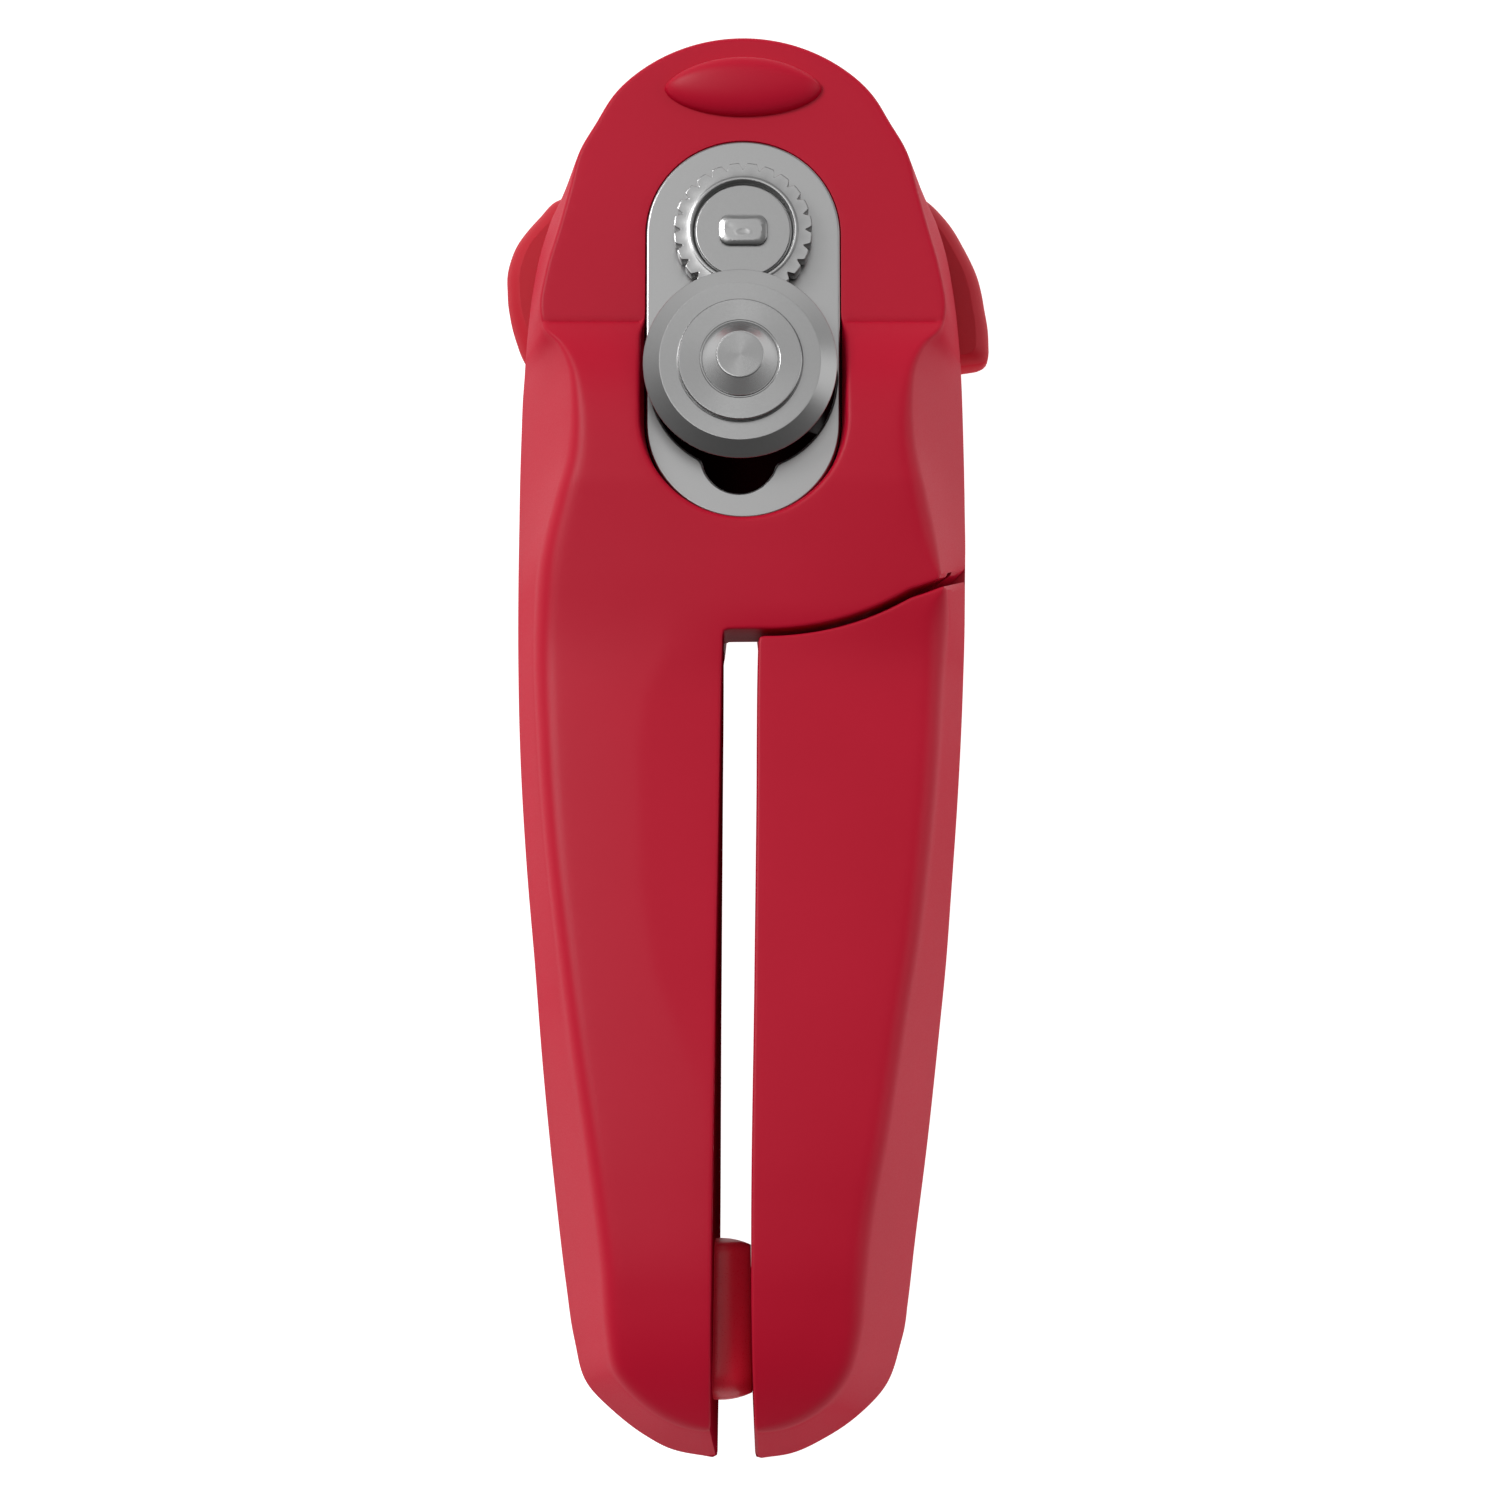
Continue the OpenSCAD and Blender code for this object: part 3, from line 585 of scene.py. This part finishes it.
BOSS_TOP = PARTING_Z - 0.1
BODY_SCREWS = [(-18, 8), (-21, -36), (-15.5, -92), (-11.5, -142)]
LEVER_SCREWS = [(13.5, -112), (10.5, -143)]
bush_seat = tube(0, 0, [(6.45, back_face), (6.45, BOSS_TOP), (9, BOSS_TOP), (9, back_inside)], 64)
rear_right = [(25.9, -46.5, 29.73, -46.5, .7)] + BODY_RIGHT[1:]
rear_left = LEVER_RIGHT[:-1] + [(26.3, -47.7, 29.75, -47.7, .7)]
rear_body = rear_stations([head_run(), spline(LEFT), spline(BODY_SLOT), rear_joint(25, -32.7, JOINT_GAP),
                           spline(rear_right)])
rear_lever = rear_stations([spline(LEVER_SLOT), spline(rear_left), rear_joint(-31.4, 23, 0)])
rear_cover = shell("rear_cover", rear_body, back_face, -1, [recess(*p) for p in BODY_SCREWS] + [bush_seat],
                   grid=1.6, slot_end=True)
lever_rear = shell("lever_rear", rear_lever, back_face, -1, [recess(*p) for p in LEVER_SCREWS], grid=1.6)


# ---------------------------------------------------------------- steel face plate
def level(z):
    """A flat surface for Build.cap."""
    return lambda x, y: np.full(np.shape(x), z)


def plate(name, outline_at, holes_at, z_low, z_high, bevel, grid=2.0):
    """Flat plate with bevelled edges. Outlines are functions of how far the edge is cut back."""
    b = Build()
    edge = [(bevel + .06, 0), (bevel, 0), (bevel * .62, bevel * .08), (bevel * .3, bevel * .3),
            (bevel * .08, bevel * .62), (0, bevel), (0, bevel + .06)]
    made = [b.rows([xyz(at(d), z_high - z) for d, z in edge] + [xyz(at(0), z_low)])
            for at in [outline_at] + holes_at]
    b.cap(made[0][0], [m[0] for m in made[1:]], level(z_high), grid)
    b.cap(made[0][-1], [m[-1] for m in made[1:]], level(z_low), grid)
    return b.mesh(name, 30)


WINDOW_Y, WINDOW_R = -19.5, 12.2
LOBE_X, LOBE_Y, LOBE_R = -0.5, -10.5, 4.9  # the lobe's centre is counted from the window's


def window_loop(grow):
    """The axle's window: a wide round opening with a smaller lobe below it."""
    a = np.linspace(0, 2 * np.pi, 900, endpoint=False) + math.pi / 2
    lobe, off = LOBE_R + grow, math.hypot(LOBE_X, LOBE_Y)
    phi = np.angle(np.exp(1j * (a - math.atan2(LOBE_Y, LOBE_X))))
    root = lobe ** 2 - (off * np.sin(phi)) ** 2
    far = np.where((root > 0) & (np.abs(phi) < 1), off * np.cos(phi) + np.sqrt(np.maximum(root, 0)), 0)
    r = np.maximum(WINDOW_R + grow, far)
    loop = np.stack([r * np.cos(a), WINDOW_Y + r * np.sin(a)], axis=1)
    return even(soften(even(loop, 800), 0.35, 0.11), 220)


face_plate = plate("face_plate", lambda d: obround(PLATE_R - d),
                   [window_loop, lambda d: circle(0, 0, 5.4 + d, 96)], -1.2, 0, 0.3)

# ---------------------------------------------------------------- drive
FEED_R, TEETH, TOOTH_DEEP = 9.15, 24, 0.85
FEED_TOP, FEED_LOW = 3.6, 0.8


def tooth_outline(cut):
    """Pointed teeth with a narrow flat tip and a rounded root, cut back all round."""
    q = np.array([0, .05, .11, .17, .22, .27, .5, .73, .78, .83, .89, .95])
    h = np.array([0, .1, .4, .72, .95, 1, 1, 1, .95, .72, .4, .1])
    i = np.arange(TEETH)[:, None]
    a = ((i + q) * 2 * np.pi / TEETH).ravel()
    r = np.tile(FEED_R - TOOTH_DEEP * (1 - h), TEETH) - cut
    return np.stack([r * np.cos(a), r * np.sin(a)], axis=1)


def feed_wheel_mesh():
    """Toothed rim round a raised bead and the recess that holds the disc."""
    b = Build()
    outer = b.rows([xyz(tooth_outline(cut), z) for cut, z in (
        (.18, FEED_TOP), (.12, FEED_TOP), (.03, 3.56), (0, 3.48), (0, 0.95), (.14, FEED_LOW))])
    seat = b.rows([xyz(circle(0, 0, r, 160), z) for r, z in (
        (7.36, FEED_TOP), (7.27, 3.63), (7.14, 3.7), (7, 3.72), (6.86, 3.69), (6.76, 3.58), (6.6, 3.06),
        (6.52, 2.92), (6.44, 2.84), (6.4, 2.45), (2.4, 2.4), (2.4, FEED_LOW))])
    b.cap(outer[0], [seat[0]], level(FEED_TOP), 3)
    b.cap(outer[-1], [seat[-1]], level(FEED_LOW), 3)
    return b.mesh("feed_wheel", 30)


feed_wheel = feed_wheel_mesh()
retaining_disc = lathe("retaining_disc", [(1.7, 2.4), (6.15, 2.4), (6.26, 2.5), (6.26, 2.9), (6.23, 2.97),
                                          (6.16, 3.0), (1.7, 3.0)], n=160)


def rounded_bar(rx, ry, corner, n=24):
    """Rounded rectangle outline, counter-clockwise."""
    pts = []
    for k, (sx, sy) in enumerate(((1, 1), (-1, 1), (-1, -1), (1, -1))):
        a = np.radians(np.linspace(0, 90, n)) + k * math.pi / 2
        x, y = sx * (rx - corner) + corner * np.cos(a), sy * (ry - corner) + corner * np.sin(a)
        pts.append(np.stack([x, y], axis=1))
    return np.concatenate(pts)


def shaft_mesh():
    """Round shaft whose front end has two flats and a hammered, slightly spread head."""
    b = Build()
    a = np.concatenate([np.linspace(k * 90, k * 90 + 90, 24) for k in range(4)])
    ring = np.stack([np.cos(np.radians(a)), np.sin(np.radians(a))], axis=1)
    rows = [xyz(ring * r, z) for r, z in ((3.6, -38), (4, -37.6), (4, 0.0))]
    rows += [xyz(rounded_bar(rx, ry, corner), z) for rx, ry, corner, z in (
        (2.9, 1.85, 1.2, 0.1), (2.9, 1.85, 1.2, 3.12), (3.2, 2.05, 1.35, 3.2), (3.2, 2.05, 1.35, 3.45),
        (3.12, 1.98, 1.3, 3.6), (2.9, 1.8, 1.15, 3.71), (2.5, 1.5, .95, 3.79))]
    made = b.rows(rows)

    def hammered(x, y):
        d = ((x + 1.9) / .5) ** 2 + ((y - .45) / .35) ** 2
        e = (x / .75) ** 2 + ((y + .35) / .4) ** 2
        dome = 3.87 - 0.08 * ((x / 2.5) ** 2 + (y / 1.5) ** 2) * .5
        return dome - .035 * np.exp(-d) - .05 * np.exp(-e) + .03 * np.exp(-((e - 1.6) / .7) ** 2)

    b.cap(made[-1], [], hammered, 0.16)
    b.cap(made[0], [], level(-38.0), 2)
    return b.mesh("drive_shaft", 30)


drive_shaft = shaft_mesh()

# ---------------------------------------------------------------- knob
KNOB_FRONT, KNOB_BACK = -25.5, -42.5
KNOB_OUTLINE = [(24.4, 13.8), (27.7, 10.9), (29.1, 9), (30.3, 6.8), (31.4, 4.6), (32.3, 2.4), (32.9, 0),
                (33.3, -2.5), (33.7, -5), (33.8, -7.6), (33.7, -9.3), (33.2, -9.9), (31.6, -10.3),
                (29.6, -10.6), (24, -12), (16, -13), (0, -13), (-16, -13), (-22, -13.3), (-27.6, -12),
                (-30.2, -9.2), (-31.5, -6), (-32.1, -3.9),
                (-32.5, -1.6), (-32.6, .3), (-32.65, 2.4), (-32.2, 4.6), (-31.4, 6.7), (-30, 8.8), (-28.1, 11),
                (-26.2, 13.1), (-22.5, 14), (-15, 13.2), (0, 13.2), (15, 13.2), (20, 14)]
# share of the outline along x and y at each level
KNOB_RINGS = [(-42.5, .56, .66), (-42.35, .6, .69), (-41.8, .65, .73), (-40.8, .72, .77), (-39.5, .79, .81),
              (-38, .85, .85), (-36.5, .91, .89), (-35, .95, .925), (-33.5, .975, .96), (-32.2, .992, .985),
              (-31, 1, 1), (-29.3, 1, 1), (-27.6, 1, 1), (-26.9, .994, .988), (-26.3, .98, .965),
              (-25.8, .962, .93), (-25.5, .945, .9)]


def knob_outline():
    """The knob's widest outline, counter-clockwise, from a smooth run through its points."""
    p = KNOB_OUTLINE[::-1]
    pts = np.array(p[-2:] + p + p[:3], float)
    fine = spline(pts, 0.3)
    count = [max(2, int(np.linalg.norm(b - a) / 0.3)) for a, b in zip(pts, pts[1:])]
    loop = fine[sum(count[:2]):sum(count[:2 + len(p)])]
    return resample(soften(resample(loop, 0.2), 0.35, 0.2), 0.6)


def knob_mesh():
    """The knob with its hub's seat in front and the cap's seat behind."""
    b = Build()
    p = knob_outline()
    made = b.rows([xyz(p * (sx, sy), z) for z, sx, sy in KNOB_RINGS])
    hub = b.rows(tube(0, 0, [(9.6, KNOB_FRONT), (9, KNOB_FRONT + 0.4), (9, KNOB_FRONT + 1.7),
                             (8.7, KNOB_FRONT + 2), (4.05, KNOB_FRONT + 2), (4.05, KNOB_BACK + 3.9),
                             (6.5, KNOB_BACK + 3.9), (6.5, KNOB_BACK + .1), (6.7, KNOB_BACK)], 96))
    b.cap(made[-1], [hub[0]], level(KNOB_FRONT), 2)
    b.cap(made[0], [hub[-1]], level(KNOB_BACK), 2)
    return b.mesh("knob")


knob = knob_mesh()
knob_cap = lathe("knob_cap", [(r, KNOB_BACK + z) for r, z in (
    (0, .9), (6.4, .9), (6.4, .25), (6.15, .02), (3.2, .12), (0, .2))], n=96)

# ---------------------------------------------------------------- cutting wheel and its axle
CUT = (-0.4, -18.6)
cutting_wheel = lathe("cutting_wheel", [
    (2.56, 4.2), (6.4, 4.2), (8, 4.6), (12.66, 4.72), (12.75, 4.8), (12.75, 4.85), (12.7, 4.93),
    (10.68, 6.24), (10.6, 6.29), (10.5, 6.3), (8.3, 6.3), (8.2, 6.26), (2.56, 6.26)], CUT, 256, 14)
step_disc = lathe("step_disc", [
    (2.56, 6.3), (8.15, 6.3), (8.15, 7.14), (8.1, 7.24), (8.0, 7.29), (7.9, 7.3), (5.3, 7.3), (5.2, 7.26),
    (2.56, 7.26)], CUT, 256, 20)
cutter_axle = lathe("cutter_axle", [
    (0, -7.4), (3, -7.4), (3.9, -5.9), (4, -5.8), (2.5, -5.7), (2.5, 7.2), (4.9, 7.36), (5.0, 7.42),
    (5.0, 7.52), (4.93, 7.62), (3.15, 9.5), (3.05, 9.57), (2.9, 9.6), (1.4, 9.6), (0, 9.6)], CUT, 192, 20)


# ---------------------------------------------------------------- bumper between the handles
def bumper_mesh():
    """Barrel with gently domed ends, let into the body's wall and cut flat where the lever rests on it."""
    b = Build()
    cx, cz, radius, dome, n = -2.8, -5.0, 5.0, 8.9, 144
    y0, y1, hidden = -132.3, -153.0, -6.35
    a = np.linspace(0, 2 * np.pi, n, endpoint=False)
    end = [(q, dome - math.sqrt(dome * dome - q * q)) for q in (.6, 1.4, 2.2, 3, 3.6, 4)]
    end += [(4.35, 1.28), (4.65, 1.6), (4.87, 2.05), (4.97, 2.6), (radius, 3.2)]
    rows = [(q, y0 - d) for q, d in end] + [(radius, (y0 + y1) / 2)] + [(q, y1 + d) for q, d in end[::-1]]
    made = []
    for q, y in rows:
        lever_wall = np.interp(y, [-153, -148, -133], [1.27, 1.12, 1.02])
        x = np.clip(cx + q * np.cos(a), hidden, lever_wall)
        made.append(np.column_stack([x, np.full(n, y), cz + q * np.sin(a)]))
    made = b.rows(made)
    for ring, y in ((made[0], y0), (made[-1], y1)):
        tip = b.row([(cx, y, cz)])[0]
        for i in range(n):
            b.f.append((ring[i], ring[(i + 1) % n], tip))
    return b.mesh("handle_bumper", 40)


bumper = bumper_mesh()


# ---------------------------------------------------------------- materials
def srgb(r, g, b):
    return tuple(((c / 255 + 0.055) / 1.055) ** 2.4 if c > 10 else c / 255 / 12.92 for c in (r, g, b)) + (1,)


def grey(v):
    return srgb(v, v, v)


def new_material(name):
    m = bpy.data.materials.new(name)
    m.use_nodes = True
    nt = m.node_tree
    nt.nodes.clear()
    out = nt.nodes.new("ShaderNodeOutputMaterial")
    sh = nt.nodes.new("ShaderNodeBsdfPrincipled")
    nt.links.new(sh.outputs["BSDF"], out.inputs["Surface"])
    return m, nt, sh


def fed(nt, kind, operation, values):
    """A maths node whose inputs are linked sockets or constants."""
    node = nt.nodes.new(kind)
    node.operation = operation
    for value, socket in zip(values, node.inputs):
        if isinstance(value, bpy.types.NodeSocket):
            nt.links.new(value, socket)
        else:
            socket.default_value = value
    return node


def maths(nt, operation, *values):
    return fed(nt, "ShaderNodeMath", operation, values).outputs[0]


def vector(nt, operation, *values):
    node = fed(nt, "ShaderNodeVectorMath", operation, values)
    return node.outputs["Value" if operation == "LENGTH" else "Vector"]


def coords(nt, kind):
    return nt.nodes.new("ShaderNodeTexCoord").outputs[kind]


def axes(nt, socket):
    """The X, Y and Z outputs of a vector."""
    node = nt.nodes.new("ShaderNodeSeparateXYZ")
    nt.links.new(socket, node.inputs[0])
    return node.outputs


def noise(nt, scale, detail=3, rough=0.5, at=None):
    n = nt.nodes.new("ShaderNodeTexNoise")
    n.inputs["Scale"].default_value = scale
    n.inputs["Detail"].default_value = detail
    n.inputs["Roughness"].default_value = rough
    nt.links.new(at or coords(nt, "Object"), n.inputs["Vector"])
    return n.outputs["Fac"]


def ramp(nt, fac, lo, hi, a=0.3, b=0.7):
    r = nt.nodes.new("ShaderNodeValToRGB")
    r.color_ramp.elements[0].position, r.color_ramp.elements[1].position = a, b
    r.color_ramp.elements[0].color, r.color_ramp.elements[1].color = lo, hi
    nt.links.new(fac, r.inputs["Fac"])
    return r.outputs["Color"]


def span(nt, fac, lo, hi, a=0.3, b=0.7):
    m = nt.nodes.new("ShaderNodeMapRange")
    m.inputs["From Min"].default_value, m.inputs["From Max"].default_value = a, b
    m.inputs["To Min"].default_value, m.inputs["To Max"].default_value = lo, hi
    nt.links.new(fac, m.inputs["Value"])
    return m.outputs["Result"]


def bump(nt, sh, height, distance):
    b = nt.nodes.new("ShaderNodeBump")
    b.inputs["Distance"].default_value = distance
    b.inputs["Strength"].default_value = 1.0
    nt.links.new(height, b.inputs["Height"])
    nt.links.new(b.outputs["Normal"], sh.inputs["Normal"])


def box_mask(nt, box, soft=0.4):
    """1 inside a box given in mm, 0 outside, from the piece's own coordinates."""
    at = axes(nt, coords(nt, "Object"))
    value = None
    for axis, (lo, hi) in zip("XYZ", box):
        for edge, sign in ((lo, 1), (hi, -1)):
            m = span(nt, at[axis], 0, 1, (edge - sign * soft / 2) * MM, (edge + sign * soft / 2) * MM)
            value = m if value is None else maths(nt, "MULTIPLY", value, m)
    return value


# painted shade: boxes in mm whose surfaces are coloured near-black in place of the shadow that falls there:
# the space behind the plate's window, and the slot's two walls
WINDOW_BOX = ((-13.6, 13.6), (-44, 2), (-20.6, -1.0))
SLOT_BOX = ((-5.4, 3.2), (-170, -54), (-23, 5))
PAINTED_SHADE_COLOUR = (.02, .001, .002, 1)
WALL_GLOSS = .035  # share of the gloss that upright walls keep


def plastic(name, dark, light, rough, grain, shine, painted_shade=False):
    """Moulded plastic: faint mottling, fine grain, and a gloss that fades on upright walls. When asked,
    painted shade makes the surfaces behind the plate's window and the slot's upright walls near-black and
    takes away their gloss.
    """
    m, nt, sh = new_material(name)
    colour = ramp(nt, noise(nt, 38), dark, light)
    turned = axes(nt, coords(nt, "Normal"))
    gloss = span(nt, maths(nt, "ABSOLUTE", turned["Z"]), shine * WALL_GLOSS, shine, .2, .85)
    # painted shade: near-black colour and no gloss inside WINDOW_BOX, and on the upright walls inside SLOT_BOX
    if painted_shade:
        side_wall = span(nt, maths(nt, "ABSOLUTE", turned["X"]), 0, .4, .7, .92)
        slot_wall = maths(nt, "MULTIPLY", side_wall, box_mask(nt, SLOT_BOX))
        shade = maths(nt, "MAXIMUM", box_mask(nt, WINDOW_BOX), slot_wall)
        mix = nt.nodes.new("ShaderNodeMix")
        mix.data_type = "RGBA"
        ends = {i.name: i for i in mix.inputs if i.type == "RGBA"}
        ends["B"].default_value = PAINTED_SHADE_COLOUR
        nt.links.new(shade, mix.inputs[0])
        nt.links.new(colour, ends["A"])
        colour = next(o for o in mix.outputs if o.type == "RGBA")
        gloss = maths(nt, "MULTIPLY", gloss, span(nt, shade, 1, 0, 0, .4))
    nt.links.new(colour, sh.inputs["Base Color"])
    nt.links.new(gloss, sh.inputs["Specular IOR Level"])
    fine = noise(nt, 5200, 2, 0.6)
    nt.links.new(span(nt, fine, rough - .04, rough + .05), sh.inputs["Roughness"])
    bump(nt, sh, fine, grain)
    sh.inputs["IOR"].default_value = 1.5
    return m


def steel(name, dark, light, rough, grain=6e-6, centre=None, rings=0.0, around=0.0):
    """Metal with fine marks. A centre adds turning marks, and around draws the highlights out across them."""
    m, nt, sh = new_material(name)
    sh.inputs["Metallic"].default_value = 1.0
    marks = noise(nt, 4200, 3, 0.6)
    nt.links.new(ramp(nt, marks, dark, light), sh.inputs["Base Color"])
    nt.links.new(span(nt, marks, rough - .02, rough + .02), sh.inputs["Roughness"])
    height = marks
    if centre is not None:
        offset = vector(nt, "SUBTRACT", coords(nt, "Object"), (centre[0] * MM, centre[1] * MM, 0))
        flat = vector(nt, "MULTIPLY", offset, (1, 1, 0))
        across = nt.nodes.new("ShaderNodeCombineXYZ")
        nt.links.new(vector(nt, "LENGTH", flat), across.inputs["X"])
        turning = noise(nt, 9000, 3, 0.5, across.outputs[0])
        height = maths(nt, "MULTIPLY_ADD", turning, rings, marks)
        if around:
            tangent = vector(nt, "NORMALIZE", vector(nt, "CROSS_PRODUCT", flat, (0, 0, 1)))
            nt.links.new(tangent, sh.inputs["Tangent"])
            sh.inputs["Anisotropic"].default_value = around
    bump(nt, sh, height, grain)
    return m


# the shells' red carries painted shade behind the plate's window and on the slot's walls
red = plastic("moulded_red", srgb(182, 11, 42), srgb(186, 13, 45), 0.42, 7e-6, .2, painted_shade=True)
knob_red = plastic("knob_red", srgb(184, 20, 40), srgb(190, 23, 43), 0.45, 9e-6, .25)
# painted light: the bumper's red is lighter than the shells' red, to make up for the little light that reaches
# it down in the slot
bumper_red = plastic("bumper_red", srgb(216, 32, 54), srgb(222, 36, 58), 0.3, 6e-6, .3)
plate_steel = steel("plate_steel", grey(168), grey(170), 0.3, 1.5e-7)
feed_steel = steel("feed_steel", grey(167), grey(170), 0.3, 2e-7, (0, 0), 0.6)
disc_steel = steel("disc_steel", grey(160), grey(163), 0.32, 2.5e-7, (0, 0), 0.8)
shaft_steel = steel("shaft_steel", grey(166), grey(170), 0.3, 5e-7)
wheel_steel = steel("cutting_steel", grey(158), grey(161), 0.3, 2.5e-7, CUT, 1.0, 0.3)
axle_steel = steel("axle_steel", grey(160), grey(164), 0.24, 2.5e-7, CUT, 1.2, 0.6)
inner_steel = steel("inner_steel", grey(120), grey(130), 0.4)
screw_steel = steel("screw_steel", grey(140), grey(150), 0.38)
bronze = steel("bronze", srgb(176, 140, 92), srgb(186, 148, 98), 0.4)

LOOKS = [
    (main_body, "body", "shell_red", red, "main_body"),
    (rear_cover, "body", "shell_red", red, "rear_cover"),
    (lever_top, "lever", "shell_red", red, "lever_front"),
    (lever_rear, "lever", "shell_red", red, "lever_rear"),
    (face_plate, "body", "plate_steel", plate_steel, "face_plate"),
    (feed_wheel, "drive", "wheel_steel", feed_steel, "feed_wheel"),
    (retaining_disc, "drive", "wheel_steel", disc_steel, "retaining_disc"),
    (drive_shaft, "drive", "wheel_steel", shaft_steel, "drive_shaft"),
    (knob, "drive", "knob_red", knob_red, "knob"),
    (knob_cap, "drive", "knob_red", knob_red, "knob_cap"),
    (cutting_wheel, "cutter", "cutter_steel", wheel_steel, "cutting_wheel"),
    (step_disc, "cutter", "axle_steel", axle_steel, "step_disc"),
    (cutter_axle, "lever", "axle_steel", axle_steel, "cutter_axle"),
    (bumper, "body", "bumper_red", bumper_red, "handle_bumper"),
]
for ob, body, slot_name, mat, node in LOOKS:
    ob.data.materials.clear()
    ob.data.materials.append(mat)
    ob.name = "look_" + node
    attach(ob, body)
    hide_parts(node)

SHOWN = {
    bronze: ("front_bush", "rear_bush", "pivot_bush"),
    screw_steel: ("cover_screws", "lever_screws", "knob_washer", "knob_screw"),
    inner_steel: ("pivot_pin", "pivot_clip", "thrust_washer", "cutter_arm", "arm_rivets", "cutter_spacer",
                  "spring_washer"),
}
for mat, nodes in SHOWN.items():
    for node in nodes:
        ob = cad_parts[node]
        ob.data.materials.clear()
        ob.data.materials.append(mat)
        for p in ob.data.polygons:
            p.material_index = 0

# ---------------------------------------------------------------- floor, light and camera
FLOOR_HALF, FLOOR_Z = 3.0, KNOB_BACK * MM - 0.0002


def floor_mesh():
    """Plain pale floor just under the knob, in metres."""
    me = bpy.data.meshes.new("floor")
    h, z = FLOOR_HALF, FLOOR_Z
    me.from_pydata([(-h, -h, z), (h, -h, z), (h, h, z), (-h, h, z)], [], [(0, 1, 2, 3)])
    ob = bpy.data.objects.new("floor", me)
    bpy.context.scene.collection.objects.link(ob)
    m, nt, sh = new_material("floor_white")
    nt.links.new(ramp(nt, noise(nt, 60, 2), (.34, .34, .34, 1), (.36, .36, .36, 1)), sh.inputs["Base Color"])
    sh.inputs["Roughness"].default_value = 0.9
    sh.inputs["Specular IOR Level"].default_value = 0.1
    sh.inputs["Emission Color"].default_value = (1, 1, 1, 1)
    sh.inputs["Emission Strength"].default_value = 1.0
    ob.data.materials.append(m)
    return ob


floor_mesh()

# the studio's walls: bright near the floor, darker overhead, and brighter beyond the nose
world = bpy.data.worlds.new("studio")
bpy.context.scene.world = world
world.use_nodes = True
sky = world.node_tree
split = axes(sky, coords(sky, "Generated"))
level_ramp = sky.nodes.new("ShaderNodeValToRGB")
bands = level_ramp.color_ramp.elements
bands[0].color, bands[1].color = (.8, .8, .8, 1), (.2, .2, .2, 1)
bands.new(0.18).color = (.8, .8, .8, 1)
bands.new(0.36).color = (.26, .26, .26, 1)
sky.links.new(split["Z"], level_ramp.inputs["Fac"])
sky.links.new(level_ramp.outputs["Color"], sky.nodes["Background"].inputs["Color"])
sky.links.new(maths(sky, "MULTIPLY_ADD", split["Y"], 0.55, 1.0), sky.nodes["Background"].inputs["Strength"])


def area(name, pos, target, size, power, size_y=None):
    li = bpy.data.lights.new(name, "AREA")
    li.shape = "RECTANGLE"
    li.size, li.size_y = size, size_y or size
    li.energy = power
    ob = bpy.data.objects.new(name, li)
    ob.location = pos
    ob.rotation_mode = "QUATERNION"
    ob.rotation_quaternion = (Vector(target) - Vector(pos)).to_track_quat("-Z", "Y")
    bpy.context.scene.collection.objects.link(ob)


HANDLES, MIDDLE = (0, -0.04, 0), (0, -0.07, 0)
area("key", (-0.75, 0.4, 1.0), HANDLES, 0.5, 9.6)
area("side", (1.0, 0.1, 0.55), HANDLES, 0.6, 1.3)
area("overhead", (0, 0.45, 1.6), MIDDLE, 1.4, 3.4, 1.2)
area("top", (-0.3, -0.05, 1.1), MIDDLE, 0.35, 0.7)

PITCH = math.radians(10.5)
cam_data = bpy.data.cameras.new("camera")
cam_data.sensor_width = 36
cam_data.lens = 119.8
cam = bpy.data.objects.new("camera", cam_data)
cam.location = (0.00091, -0.1877, 0.6391)
cam.rotation_euler = (PITCH, 0, 0)
bpy.context.scene.collection.objects.link(cam)
bpy.context.scene.camera = cam

bpy.context.scene.view_settings.view_transform = "Standard"
